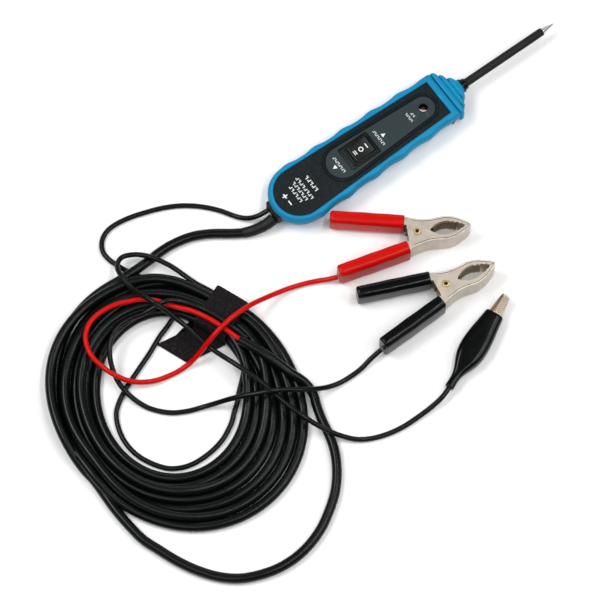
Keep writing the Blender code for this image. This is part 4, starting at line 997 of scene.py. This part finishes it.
def rocker():
    """The rocker with its axle, and the contact blade that it carries."""
    top = math.degrees(math.asin(ROCKER_TOP / ROCKER_RADIUS))
    pivot = (SWITCH_X, PIVOT_Z)
    right = arc(pivot, ROCKER_RADIUS, -5, top - 3, 12)
    left = arc(pivot, ROCKER_RADIUS, 183 - top, 185, 12)
    dish = from_pivot((x, rocker_height(x)) for x in (7.25 - 14.5 * i / 24 for i in range(25)))
    under = from_pivot([(-7.5, -1.5), (-1.6, -1.8), (-1.2, -4.3), (1.2, -4.3), (1.6, -1.8),
                        (7.5, -1.5)])
    body = side_prism(right + dish + left + under, -ROCKER_HALF_Y, ROCKER_HALF_Y)
    body = combined(body, side_prism(arc(pivot, 1.0, 0, 345, 23), -7.1, 7.1), operation="UNION")
    piece("switch_rocker", body, ROCKER, "rocker", ["rocker"], "black_plastic", bevel=0.45)
    blade = from_pivot([(-6.6, -5.0), (-6.6, -5.6), (0.0, -5.4), (6.6, -5.6), (6.6, -5.0), (0.0, -4.7)])
    piece("switch_blade", side_prism(blade, -2.2, 2.2), BRASS, "rocker", ["switch_contact"], "brass",
          bevel=0.1)
    rocker_marks()


def on_rocker(points, lift):
    """A flat outline laid on the rocker's dished top, a little above or below it."""
    return [(SWITCH_X + x, y, PIVOT_Z + rocker_height(x) + lift) for x, y in points]


def rocker_marks():
    """I, O and II: the positions of a three-way switch."""
    bars = [box_outline(4.2, 4.9, -1.9, 1.9), bar(-5.6, 0.0, 0.32, 1.7), bar(-4.2, 0.0, 0.32, 1.7)]
    parts = [loft([on_rocker(shape, -INK), on_rocker(shape, INK)]) for shape in bars]
    outer, inner = arc((0, 0), 1.85, 0, 351, 39), arc((0, 0), 1.15, 0, 351, 39)
    edges = ((outer, -INK), (outer, INK), (inner, INK), (inner, -INK))
    parts.append(loft([on_rocker(ring, lift) for ring, lift in edges], closed=True))
    piece("rocker_marks", join(*parts), MARK, "rocker", slot="black_plastic")


def switch_tabs():
    """The switch's three terminals, each with a hole for its wire."""
    for i, offset in enumerate((-6.5, 0.0, 6.5)):
        x = SWITCH_X + offset
        tab = combined(prism(rounded_box(0.4, 2.4, 0.35, 3, (x, 0)), 2.6, 6.2),
                       place(bore(0.7, -2, 2, 20, axis="X"), Matrix.Translation((x, 0, 4.0))))
        piece(f"switch_tab_{i + 1}", tab, BRASS, nodes=[f"switch_terminal_{i + 1}"], slot="brass",
              bevel=0.05)


def lamp():
    """Indicator lamp: a dark dome in a moulded ring, with a pale crescent in the ring as a painted
    highlight.
    """
    centre = (FACE_SLIM_X, 0, 0)
    dome = [(2.9, 9.2), (2.9, 10.2), (2.5, 10.3), (2.5, 15.2)]
    for i in range(1, 9):
        angle = math.radians(10 * i)
        dome.append((2.5 * math.cos(angle), 15.2 + 2.2 * math.sin(angle)))
    piece("lamp_dome", turned(dome, 40, centre), LENS, nodes=["led_lens"], slot="lens")
    ring = [(2.62, 15.0), (3.38, 15.0), (3.38, 18.6), (3.3, 18.85), (3.1, 18.95), (2.95, 18.85),
            (2.85, 18.5), (2.62, 17.2)]
    piece("lamp_ring", turned(ring, 48, centre, closed=True), BLACK, nodes=["led_holder"],
          slot="black_plastic")
    # A pale crescent inside the ring: a painted highlight, not a part of the lamp.
    outer, inner = [], []
    for i in range(25):
        angle = math.radians(150 + 150 * i / 24)
        thick = 0.85 * math.sin(math.pi * i / 24) + 0.02
        for line, radius in ((outer, 2.84), (inner, 2.84 - thick)):
            line.append((FACE_SLIM_X + radius * math.cos(angle), radius * math.sin(angle)))
    piece("lamp_painted_highlight", prism(outer + inner[::-1], 17.3, 18.35), LAMP_HIGHLIGHT, slot="lens")


def circuit():
    """Circuit board with its parts, inside the housing."""
    board = prism(rounded_box(20.9, 10.5, 1.0, 4, (-9.1, 0)), 6.8, 8.4)
    spots = ((-27.0, 7.5), (-27.0, -7.5), (8.5, 7.5), (8.5, -7.5))
    board = combined(board, *[bore(0.9, 5.0, 10.0, 20, (*spot, 0)) for spot in spots])
    piece("lamp_board", board, BOARD, nodes=["circuit_board"], slot="board", bevel=0.08)
    for i, y in enumerate((-6.5, 6.5)):
        barrel = [(0.35, -7.0), (0.35, -3.5), (0.9, -3.4), (1.2, -3.0), (1.2, -2.2), (1.0, -1.6),
                  (1.0, 1.6), (1.2, 2.2), (1.2, 3.0), (0.9, 3.4), (0.35, 3.5), (0.35, 7.0)]
        piece(f"series_resistor_{i + 1}", turned(barrel, 20, (-16.0, y, 10.0), "X"), RESISTOR,
              nodes=[f"limit_resistor_{i + 1}"], slot="resistor_body")


# ---- tester: nose and probe ----------------------------------------------------------------------
def nose():
    """Blue nose cap: three scalloped tiers that step down from the flange to the probe."""
    steps = [(27.05, 18.4, 8.5), (27.5, 19.1, 8.8), (28.5, 19.2, 8.8), (29.5, 18.9, 8.6),
             (30.3, 17.6, 8.2), (30.7, 15.6, 7.7), (30.8, 13.6, 6.9), (31.2, 13.4, 6.9),
             (31.5, 14.6, 7.6), (32.6, 14.8, 7.7), (33.5, 14.0, 7.4), (34.1, 12.2, 7.0),
             (34.4, 9.6, 6.4), (34.5, 8.3, 5.7), (34.9, 8.2, 5.7), (35.2, 9.4, 6.3), (36.4, 9.5, 6.4),
             (37.6, 8.7, 6.2), (38.5, 7.0, 5.8), (39.0, 5.4, 5.2), (40.0, 5.0, 4.9)]
    rings = []
    for x, half_y, half_z in steps:
        outline = rounded_box(half_y, half_z, min(half_y, half_z) * 0.62, 8)
        centre_z = AXIS_Z - 0.3 * (half_z - 5.0)
        rings.append([(x, y, centre_z + z) for y, z in outline])
    body = combined(loft(rings), bore(2.7, 20.0, 45.0, 32, (0, 0, AXIS_Z), "X"))
    piece("stepped_nose", body, BLUE, nodes=["nose_cap"], slot="blue_rubber", sharp=50)


def probe():
    """The probe's collar, sleeve and pin, and the terminal block on its inner end."""
    axis = (0, 0, AXIS_Z)
    collar = [(3.3, 40.2), (4.7, 40.2), (5.1, 40.5), (5.2, 41.2), (5.0, 41.9), (4.4, 42.2),
              (4.05, 42.6), (4.15, 43.3), (4.1, 44.1), (3.8, 44.7), (3.3, 44.9)]
    piece("probe_boot_ring", turned(collar, 40, axis, "X", closed=True), BLACK_PVC,
          nodes=["probe_collar"], slot="black_plastic")
    sleeve = [(3.0, 40.4), (3.0, 60.0), (2.97, 90.0), (2.95, 111.2), (2.85, 111.7), (2.6, 112.0),
              (2.4, 111.8), (2.4, 40.4)]
    piece("probe_sleeve", turned(sleeve, 32, axis, "X", closed=True), SOCKET,
          nodes=["probe_insulation"], slot="black_pvc")
    rod = [(2.2, 12.8), (2.2, 112.6), (2.1, 113.2), (1.6, 115.8), (0.9, 119.4), (0.3, 122.0),
           (0.1, 122.5)]
    piece("probe_pin", turned(rod, 32, axis, "X"), STEEL, nodes=["probe_rod"], slot="steel")
    block = place(prism(rounded_box(2.2, 3.6, 0.5, 4), AXIS_Z - 4.2, AXIS_Z + 4.2),
                  turned_to((15.4, 0), 0))
    block = combined(block, bore(2.5, 10.0, 20.0, 28, axis, "X"))
    piece("probe_block", block, BRASS, nodes=["probe_terminal"], slot="brass", bevel=0.1)


CLAMP_X = -104.0


def cord_entry():
    """Moulded cord outlet, with a collar where each cord leaves, and the clamp behind it."""
    block = prism(rounded_box(5.35, 7.6, 1.6, 6, (-117.15, 0.7)), 5.3, 15.2, 0.6, 0.6)
    for (_, y, z), radius in ((MAIN_LEAD[0], MAIN_RADIUS + 0.9), (GROUND_FIRST[0], LEAD_RADIUS + 0.8)):
        collar = [(radius * 0.9, -118.0), (radius, -121.5), (radius, -122.3), (radius * 0.93, -122.9)]
        block = combined(block, turned(collar, 28, (0, y, z), "X"), operation="UNION")
    piece("cord_outlet", block, SOCKET, nodes=["cord_grommet"], slot="black_plastic", bevel=0.1)
    clamp = prism(rounded_box(2.2, 11.0, 1.0, 4, (CLAMP_X, 0)), 6.4, 9.0)
    for i, y in enumerate((-8.4, 8.4)):
        clamp = combined(clamp, bore(1.4, 5.0, 12.0, 20, (CLAMP_X, y, 0)))
        screw = turned([(1.1, 2.3), (1.1, 9.3), (2.0, 9.3), (2.0, 10.0), (1.7, 10.3)], 24,
                       (CLAMP_X, y, 0))
        screw = combined(screw, prism(rounded_box(0.3, 1.6, 0.1, 2, (CLAMP_X, y)), 9.8, 11.0))
        piece(f"clamp_bolt_{i + 1}", screw, STEEL, nodes=[f"clamp_screw_{i + 1}"], slot="steel")
    piece("clamp_bar", clamp, CHARCOAL, nodes=["cord_clamp"], slot="charcoal_plastic", bevel=0.15)


def inner_wires():
    """The wires inside stay as the CAD made them, with the materials of the cords."""
    for name, skin in (("red", RED_PVC), ("black", CABLE), ("ground", CABLE)):
        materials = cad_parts[f"inner_wire_{name}"].data.materials
        materials.clear()
        materials.append(skin)


# ---- battery clips: x towards the jaws' tip, y across, z up; the rivet at the origin -------------
CLIP_PLATE = 1.0
CLIP_LOW, CLIP_HIGH = 1.0, 19.0
CLIP_NEST = 1.3                 # what the moving half is lower by, above and below
HANDLE_SLOPE, HANDLE_LENGTH, HANDLE_HALF = 12.3, 49.0, 3.1
CLIPS = {"red": ((-51.0, -71.6), -27.6), "black": ((-58.0, -114.1), -11.1)}


def handle_frame(side):
    """Start, direction and inward normal of a handle; side is -1 for the fixed half."""
    slope = math.radians(HANDLE_SLOPE)
    start = Vector((-8.0, side * 9.8))
    along = Vector((-math.cos(slope), side * math.sin(slope)))
    inward = Vector((-math.sin(slope), -side * math.cos(slope)))
    return start, along, inward


def handle_point(side, distance, across):
    start, along, inward = handle_frame(side)
    return tuple(start + along * distance + inward * across)


def clip_frame(name):
    """Where a battery clip lies."""
    return turned_to(*CLIPS[name])


def sleeve_mouth(name):
    """Where a lead meets the end of the fixed handle's sleeve."""
    x, y = handle_point(-1, HANDLE_LENGTH + 2.8, 0)
    return tuple(clip_frame(name) @ Vector((x, y, 6.5)))


JAW_OUT = [(37.6, 0.35), (36.2, 2.0), (34.0, 3.6), (31.3, 5.1), (27.0, 7.4), (23.5, 8.4), (20.0, 8.9),
           (15.0, 8.6), (10.5, 8.3), (4.0, 8.9), (-3.0, 10.9)]
MOUTH = [(8.9, 0.35), (11.0, 2.1), (13.5, 3.8), (17.0, 5.0), (20.0, 5.3), (23.0, 5.1)]
TEETH = [(24.2, 3.9), (25.6, 4.6), (27.2, 3.1), (28.6, 3.5), (30.4, 1.9), (31.6, 2.1), (33.3, 0.35)]


def clip_half(side, low, high):
    """One half: two plates joined by a wall along the outer edge, with a large round fold."""
    edge = smooth_line(JAW_OUT, 1.0) + [handle_point(1, 0, -HANDLE_HALF),
                                        handle_point(1, HANDLE_LENGTH, -HANDLE_HALF)]
    handle = [handle_point(1, HANDLE_LENGTH, HANDLE_HALF), handle_point(1, -2.2, HANDLE_HALF)]
    ear = arc((0, 0), 6.6, 170, 290, 20) + [(6.4, -1.6)]
    outline = edge + handle + ear + smooth_line(MOUTH, 1.0) + TEETH
    bm = loft([level(flip(outline, side), z) for z in (low, high)])
    round_folds(bm, len(outline), range(3, len(edge) - 1), 0.55)
    wall = CLIP_PLATE + 0.05
    space = [(37.6, 0.35 - wall * 0.9)]
    space += [(x, y - wall) for x, y in smooth_line(JAW_OUT, 1.0)[1:]]
    space += [handle_point(1, 0, -HANDLE_HALF + wall),
              handle_point(1, HANDLE_LENGTH + 5, -HANDLE_HALF + wall), (-70.0, -30.0), (45.0, -30.0),
              (45.0, -2.0)]
    return combined(bm, prism(flip(space, side), low + CLIP_PLATE, high - CLIP_PLATE),
                    bore(2.3, low - 3, high + 3, 28))


def edge_line(side, height, near, far):
    """A thin line on a plate's top, along the fold, between two distances from the outer edge."""
    line = smooth_line(JAW_OUT[1:], 1.0)
    outline = [(x, y - near) for x, y in line] + [(x, y - far) for x, y in reversed(line)]
    return prism(flip(outline, side), height - 0.1, height + 0.02)


def jaw_lining(side, low, high, lean):
    """Contact strip inside the jaw's mouth, with upright ribs; its foot leans in towards the seam."""
    line = smooth_line(MOUTH[1:] + [(25.5, 4.3), (28.0, 3.3)], 0.55)
    bottom, top = low + 1.3, high - 1.3

    def strip(points, back, front):
        rings = []
        for z, share in ((bottom, 1.0), ((bottom + top) / 2, 0.35), (top, 0.0)):
            face = [(x, y * (1 - lean * share) - front) for x, y in points]
            rear = [(x, y * (1 - lean * share) + back) for x, y in reversed(points)]
            rings.append(level(flip(face + rear, side), z))
        return loft(rings)

    ribs = [strip(line[i:i + 2], 0.2, 0.75) for i in range(1, len(line) - 2, 2)]
    return strip(line, 0.8, 0.15), join(*ribs)


def clip_sleeve(side, low, high):
    """Soft sleeve over a handle: slightly swollen, closed with a soft edge behind, open in front."""
    start, along, inward = handle_frame(side)
    length = HANDLE_LENGTH + 1.8
    middle, half_z = (low + high) / 2, (high - low) / 2
    rings = []

    def ring(distance, half_across, half_up, corner, sag=0.0):
        outline = rounded_box(half_across, half_up, corner, 7)
        points = []
        for across, up in outline:
            dent = 1 - 0.16 * math.exp(-(across / 1.6) ** 2) * (0.5 if up > 0 else 0.0) * sag
            points.append((*(start + along * distance + inward * across), middle + up * dent))
        rings.append(points)

    wide, tall, soft = HANDLE_HALF + 1.6, half_z + 1.0, 3.8
    ring(10.0, HANDLE_HALF + 0.2, half_z + 0.1, 0.6)
    ring(0.7, HANDLE_HALF + 0.35, half_z + 0.15, 0.8)
    ring(-0.4, HANDLE_HALF + 0.6, half_z + 0.3, 1.0)
    ring(-0.6, wide - 0.45, tall - 0.3, soft - 0.7)
    ring(-0.4, wide - 0.1, tall - 0.06, soft - 0.2)
    for i in range(25):
        part = i / 24
        distance = 0.3 + (length - 3.4 - 0.3) * part
        bow = math.sin(math.pi * part)
        swell = 0.16 * bow - 0.10 * math.cos(5.2 * math.pi * part) * bow
        ring(distance, wide + swell, tall - 0.1 * part, soft, sag=0.3 * bow)
    for k in range(1, 6):
        turn = math.pi / 2 * k / 5
        shrink = 1.4 * (1 - math.cos(turn))
        ring(length - 1.7 + 1.7 * math.sin(turn), wide - shrink, tall - 0.1 - shrink, soft - shrink)
    ring(length - 0.12, wide - 2.6, tall - 3.0, 1.4)
    return loft(rings)


def coil_spring(radius, wire, turns, height, start, end, centre):
    """Torsion spring: the helix with its foot, and the arm at its other end, as two tubes."""
    points = []
    count = turns * 24
    first = math.atan2(start[1], start[0]) + math.pi / 2
    last = math.atan2(end[1], end[0]) - math.pi / 2 + 2 * math.pi * turns
    for i in range(count + 1):
        angle = first + (last - first) * i / count
        points.append(Vector(centre) + Vector((radius * math.cos(angle), radius * math.sin(angle),
                                               height * (i / count - 0.5))))
    foot = Vector(centre) + Vector((*start, -height / 2))
    tip = Vector(centre) + Vector((*end, height / 2))
    return tube([foot] + points, wire, 10), tube([points[-2], points[-1], tip], wire, 10)


def battery_clip(name, skin):
    """A battery clip: two halves with lining and sleeve, the eyelet and the spring."""
    at = clip_frame(name)
    low, high = CLIP_LOW, CLIP_HIGH
    nested = (low + CLIP_NEST, high - CLIP_NEST)
    jaw_body = f"{name}_clip_jaw"
    pvc = "red_pvc" if name == "red" else "black_pvc"

    def add(label, bm, look, body, nodes, slot, **more):
        piece(f"{name}_clip_{label}", place(bm, at), look, body, nodes, slot, **more)

    for label, side, levels, body in (("fixed", -1, (low, high), "tester"),
                                      ("moving", 1, nested, jaw_body)):
        add(f"{label}_plates", clip_half(side, *levels), NICKEL, body, [f"{name}_clip_{label}_jaw"],
            "nickel_plate", bevel=0.12)
        # A dark strip along the fold: painted shade.
        add(f"{label}_fold_shade", edge_line(side, levels[1], 1.0, 1.45), FOLD_SHADE_AND_STUD_DARK, body, [],
            "nickel_plate")
        # A bright strip beside it: a painted highlight on the fold.
        add(f"{label}_fold_rim", edge_line(side, levels[1], 0.5, 0.95), FOLD_HIGHLIGHT, body, [], "nickel_plate")
        strip, ribs = jaw_lining(side, *levels, 0.75 if label == "fixed" else 0.0)
        add(f"{label}_lining", strip, LINING, body, [], "nickel_plate", bevel=0.1)
        add(f"{label}_ribs", ribs, NICKEL if (name, label) == ("black", "fixed") else JAW_EDGE, body,
            [], "nickel_plate")
        add(f"{label}_grip", clip_sleeve(side, *levels), skin, body, [f"{name}_clip_{label}_sleeve"],
            pvc)
    rivet = [(1.2, low - 0.6), (1.5, low - 0.85), (2.4, low - 0.75), (2.7, low - 0.4),
             (2.65, low - 0.05), (2.1, low), (2.1, high), (2.65, high + 0.05), (2.75, high + 0.4),
             (2.4, high + 0.75), (1.6, high + 0.8), (1.25, high + 0.5)]
    add("eyelet", turned(rivet, 36, closed=True), BRASS, "tester", [f"{name}_clip_rivet"], "brass")
    coil, arm = coil_spring(4.4, 0.7, 4, 9.6, (-6.8, -5.6), (-8.4, -0.5), (0, 0, 10.0))
    add("spring_coil", coil, SPRING, "tester", [f"{name}_clip_spring"], "steel")
    add("spring_arm", arm, SPRING, jaw_body, [], "steel")


# ---- alligator clip: x towards the tip, the pin at the origin ------------------------------------
GATOR_TAIL, GATOR_TURN, GATOR_PIVOT, GATOR_Z = (-98.5, -172.5), 22.8, 57.0, 6.2


def gator_frame():
    """Where the alligator clip lies."""
    turn = math.radians(GATOR_TURN)
    at = (GATOR_TAIL[0] + GATOR_PIVOT * math.cos(turn), GATOR_TAIL[1] + GATOR_PIVOT * math.sin(turn),
          GATOR_Z)
    return Matrix.Translation(at) @ Matrix.Rotation(turn, 4, "Z")


def gator_tail():
    """Where the ground lead ends, inside the boot's tail."""
    return tuple(gator_frame() @ Vector((6.0 - GATOR_PIVOT, 0, 0)))


def gator_studs(side, high, seam, rows):
    """Rows of small raised dots on a jaw's flat top."""
    studs = []
    for row in range(rows):
        for i in range(8):
            x, y = 6.8 + 1.6 * i + 0.8 * (row % 2), seam + 0.9 + 1.25 * row
            if y < 3.7 - 0.06 * i:
                stud = [(0.46, high - 0.1), (0.44, high + 0.02), (0.3, high + 0.13),
                        (0.05, high + 0.16)]
                studs.append(turned(stud, 8, (x, y * side, 0)))
    return join(*studs)


def gator_half(side, low, high, seam):
    """One stamped jaw with its handle and a row of fine teeth at its seam."""
    tip = [(20.6, max(0.7, seam + 0.7)), (20.1, max(2.2, seam + 1.3)), (18.0, 3.2)]
    outer = smooth_line(tip + [(13.0, 3.7), (6.0, 4.3), (0.0, 4.6), (-8.0, 5.2)], 0.8)
    outer += [(-28.0, 6.9)]
    inner = [(-28.0, 5.7), (-8.0, 3.2), (-4.6, 0.5), (-3.0, -2.0), (0.0, -2.8), (3.0, -2.0),
             (5.6, seam)]
    teeth = []
    for i in range(11):
        x = 7.0 + i * 1.2
        teeth += [(x, seam), (x + 0.6, seam + 0.43)]
    outline = outer + inner + teeth + [(20.5, seam)]
    bm = loft([level(flip(outline, side), z) for z in (low, high)])
    round_folds(bm, len(outline), range(1, len(outer) - 1), 0.9)
    space = [(x, y - 0.75) for x, y in outer[2:]] + [(-32.0, 6.3), (-32.0, -9.0), (19.6, -9.0)]
    return combined(bm, prism(flip(space, side), low + 0.6, high - 0.6),
                    bore(1.2, low - 3, high + 3, 20))


def boot():
    """Soft boot: narrow tail with a bead, flared body and a mouth that closes in round the jaws."""
    outer = [(0.0, 2.6, 2.6), (0.25, 3.0, 3.0), (1.2, 3.2, 3.15), (2.4, 3.1, 3.05), (6, 2.95, 2.9),
             (9, 3.05, 2.95), (12, 3.7, 3.3), (15, 4.8, 3.8), (18, 6.1, 4.4), (21.5, 7.6, 5.0),
             (25, 8.8, 5.5), (29, 9.5, 5.8), (33, 9.8, 5.95), (38, 9.7, 5.95), (43, 9.3, 5.9),
             (48, 8.6, 5.8), (53, 7.8, 5.7), (58, 7.1, 5.6), (60.8, 6.8, 5.55), (61.7, 6.6, 5.45),
             (62.0, 6.2, 5.2)]
    inner = [(61.4, 5.95, 4.95), (52, 7.2, 5.0), (43, 8.4, 5.0), (33, 8.7, 5.0), (26, 7.7, 4.6),
             (20, 5.0, 3.8)]
    rings = []
    for along, half_y, half_z in outer + inner:
        ridge = 1.0 if along < 61.5 else 0.0
        ring = []
        for y, z in rounded_box(half_y, half_z, 0.72 * min(half_y, half_z), 8):
            fold = 1 + 0.10 * ridge * math.exp(-(y / (0.3 * half_y)) ** 2) * (1 if z > 0 else -0.3)
            wobble = 0.05 * math.sin(0.9 * along + y)
            ring.append((along - GATOR_PIVOT, y, z * fold + (wobble if half_y > 5 else 0)))
        rings.append(ring)
    return loft(rings)


def alligator_clip():
    """The alligator clip: two jaws with studs, the pin, the spring, the wire screw and the boot."""
    at = gator_frame()
    parts = (("fixed", -1, 3.5, -1.5, 4, JAW, "tester"),
             ("moving", 1, 2.5, 1.7, 1, JAW_EDGE, "ground_clip_jaw"))
    for label, side, half, seam, rows, look, body in parts:
        piece(f"ground_clip_{label}_jaw_plate", place(gator_half(side, -half, half, seam), at), look,
              body, [f"ground_clip_{label}_jaw"], "nickel_plate", bevel=0.06)
        piece(f"ground_clip_{label}_studs", place(gator_studs(side, half, seam, rows), at), FOLD_SHADE_AND_STUD_DARK, body,
              slot="nickel_plate")
    pin = [(0.4, -4.3), (1.3, -4.2), (1.5, -4.0), (1.5, -3.8), (0.9, -3.75), (0.9, 3.75), (1.5, 3.8),
           (1.5, 4.0), (1.3, 4.2), (0.4, 4.3)]
    piece("ground_clip_rivet", place(turned(pin, 24), at), BRASS, nodes=["ground_clip_pin"],
          slot="brass")
    coil, arm = coil_spring(1.75, 0.3, 2, 2.4, (-7.0, -3.4), (-8.5, 1.6), (0, 0, 0))
    piece("ground_clip_spring_coil", place(coil, at), SPRING, nodes=["ground_clip_spring"],
          slot="steel")
    piece("ground_clip_spring_arm", place(arm, at), SPRING, "ground_clip_jaw", slot="steel")
    screw = combined(turned([(1.2, -1.3), (1.5, -1.1), (1.5, 1.2), (0.8, 1.4), (0.8, 2.0)], 20,
                            (-22.0, -4.2, 0.0)),
                     prism(rounded_box(1.3, 0.2, 0.1, 2, (-22.0, -4.2)), -2.0, -0.9))
    piece("ground_clip_wire_screw", place(screw, at), BRASS, nodes=["ground_clip_screw"], slot="brass")
    piece("ground_clip_boot_skin", place(boot(), at), BLACK_PVC, nodes=["ground_clip_boot"],
          slot="black_pvc", subdivide=1, sharp=70)


# ---- strap ---------------------------------------------------------------------------------------
STRAP_THICK, STRAP_STEPS = 1.4, 14
STRAP_LEAN = 0.6                # the tail lies askew, this much sideways for each unit of length


def strap():
    """Hook-and-loop strap: under the coil, round it, back over itself, with its loose tail inside."""
    outer_u, inner_u, low, high, bend = 15.6, -15.4, 0.15, 15.6, 2.6
    path = [(-40.0, low + 0.25), (-28.0, low + 0.2), (inner_u, low)]
    path += arc((outer_u - bend, low + bend), bend, -90, 0, 6)
    path += arc((outer_u - bend, high - bend), bend, 0, 90, 6)
    for i in range(1, 8):
        u = outer_u - bend + (inner_u + 2 * bend - outer_u) * i / 8
        path.append((u, high + 0.22 * math.sin(1.1 * u)))
    path += arc((inner_u + bend, high - bend), bend, 90, 180, 6)
    path += [(inner_u, 9.0), (inner_u, low + STRAP_THICK + 1.2)]
    outside, inside = [], []
    for i, point in enumerate(path):
        before, after = path[max(0, i - 1)], path[min(len(path) - 1, i + 1)]
        along = (Vector(after) - Vector(before)).normalized()
        normal = Vector((-along.y, along.x))
        outside.append(Vector(point))
        inside.append(Vector(point) + normal * STRAP_THICK)
    rings = []
    for k in range(STRAP_STEPS + 1):
        t = -STRAP_HALF + 2 * STRAP_HALF * k / STRAP_STEPS
        soft = 0.25 if k in (0, STRAP_STEPS) else 0.0
        ring = []
        for row, others in ((outside, inside), (inside[::-1], outside[::-1])):
            for point, other in zip(row, others):
                u, z = point.lerp(other, soft)
                lean = STRAP_LEAN * max(0.0, inner_u - u)
                ripple = 0.10 * math.sin(1.7 * t + 0.5 * u) * (1 if u > inner_u else 0.3)
                ring.append((u, t + lean, z + ripple))
        rings.append(ring)
    made = piece("coil_tie", place(loft(rings), turned_to(STRAP_PLACE, STRAP_TURN)), WEB,
                 nodes=["coil_strap"], slot="strap_weave", sharp=50)
    length = sum((Vector(b) - Vector(a)).length for a, b in zip(path, path[1:]))


# ---- studio --------------------------------------------------------------------------------------
MIDDLE_M = (-0.1419, -0.0594, 0.0)
EYE_M = (-0.6647, -0.7788, 2.4432)
LENS_LENGTH, SENSOR_WIDTH = 226.2, 36.0
WORLD_STRENGTH = 0.14
# Each light's name, place and size in metres, and power in watts.
LIGHTS = (
    ("key", (-0.75, 0.55, 1.5), (0.9, 0.6), 16), ("fill", (0.7, -0.9, 1.3), (1.0, 0.8), 9),
    ("side", (-1.1, -0.6, 1.7), (1.0, 1.0), 7), ("back", (0.9, 1.1, 0.9), (1.2, 0.5), 5),
    ("strip", (0.17, -0.38, 1.5), (1.2, 0.06), 8))


def aim(thing, place_m):
    """Put a camera or a light at a place, facing the middle of the picture."""
    thing.location = place_m
    towards = Vector(MIDDLE_M) - Vector(place_m)
    thing.rotation_euler = towards.to_track_quat("-Z", "Y").to_euler()


def area_light(name, place_m, size_m, power):
    data = bpy.data.lights.new(name, "AREA")
    data.shape = "RECTANGLE"
    data.size, data.size_y = size_m
    data.energy = power
    made = bpy.data.objects.new(name, data)
    bpy.context.scene.collection.objects.link(made)
    aim(made, place_m)


def studio():
    """White studio: a plain floor, five soft lights and the camera at the picture's viewing angle."""
    camera = bpy.data.cameras.new("camera")
    camera.lens, camera.sensor_width = LENS_LENGTH, SENSOR_WIDTH
    camera.clip_start, camera.clip_end = 0.1, 20.0
    eye = bpy.data.objects.new("camera", camera)
    bpy.context.scene.collection.objects.link(eye)
    aim(eye, EYE_M)
    bpy.context.scene.camera = eye
    world = bpy.data.worlds.new("studio")
    world.use_nodes = True
    background = world.node_tree.nodes["Background"]
    background.inputs["Color"].default_value = (1.0, 1.0, 1.0, 1.0)
    background.inputs["Strength"].default_value = WORLD_STRENGTH
    bpy.context.scene.world = world
    for light in LIGHTS:
        area_light(*light)
    bm = bmesh.new()
    bmesh.ops.create_grid(bm, x_segments=8, y_segments=8, size=2.5)
    floor = as_object(bm, "floor")
    floor.data.materials.append(FLOOR)
    bpy.context.scene.view_settings.view_transform = "Standard"


grip()
front_cover()
rear_cover()
face_plate()
print_marks()
switch()
rocker()
switch_tabs()
lamp()
circuit()
nose()
probe()
cord_entry()
inner_wires()
battery_clip("red", RED_PVC)
battery_clip("black", BLACK_PVC)
alligator_clip()
cords()
strap()
studio()
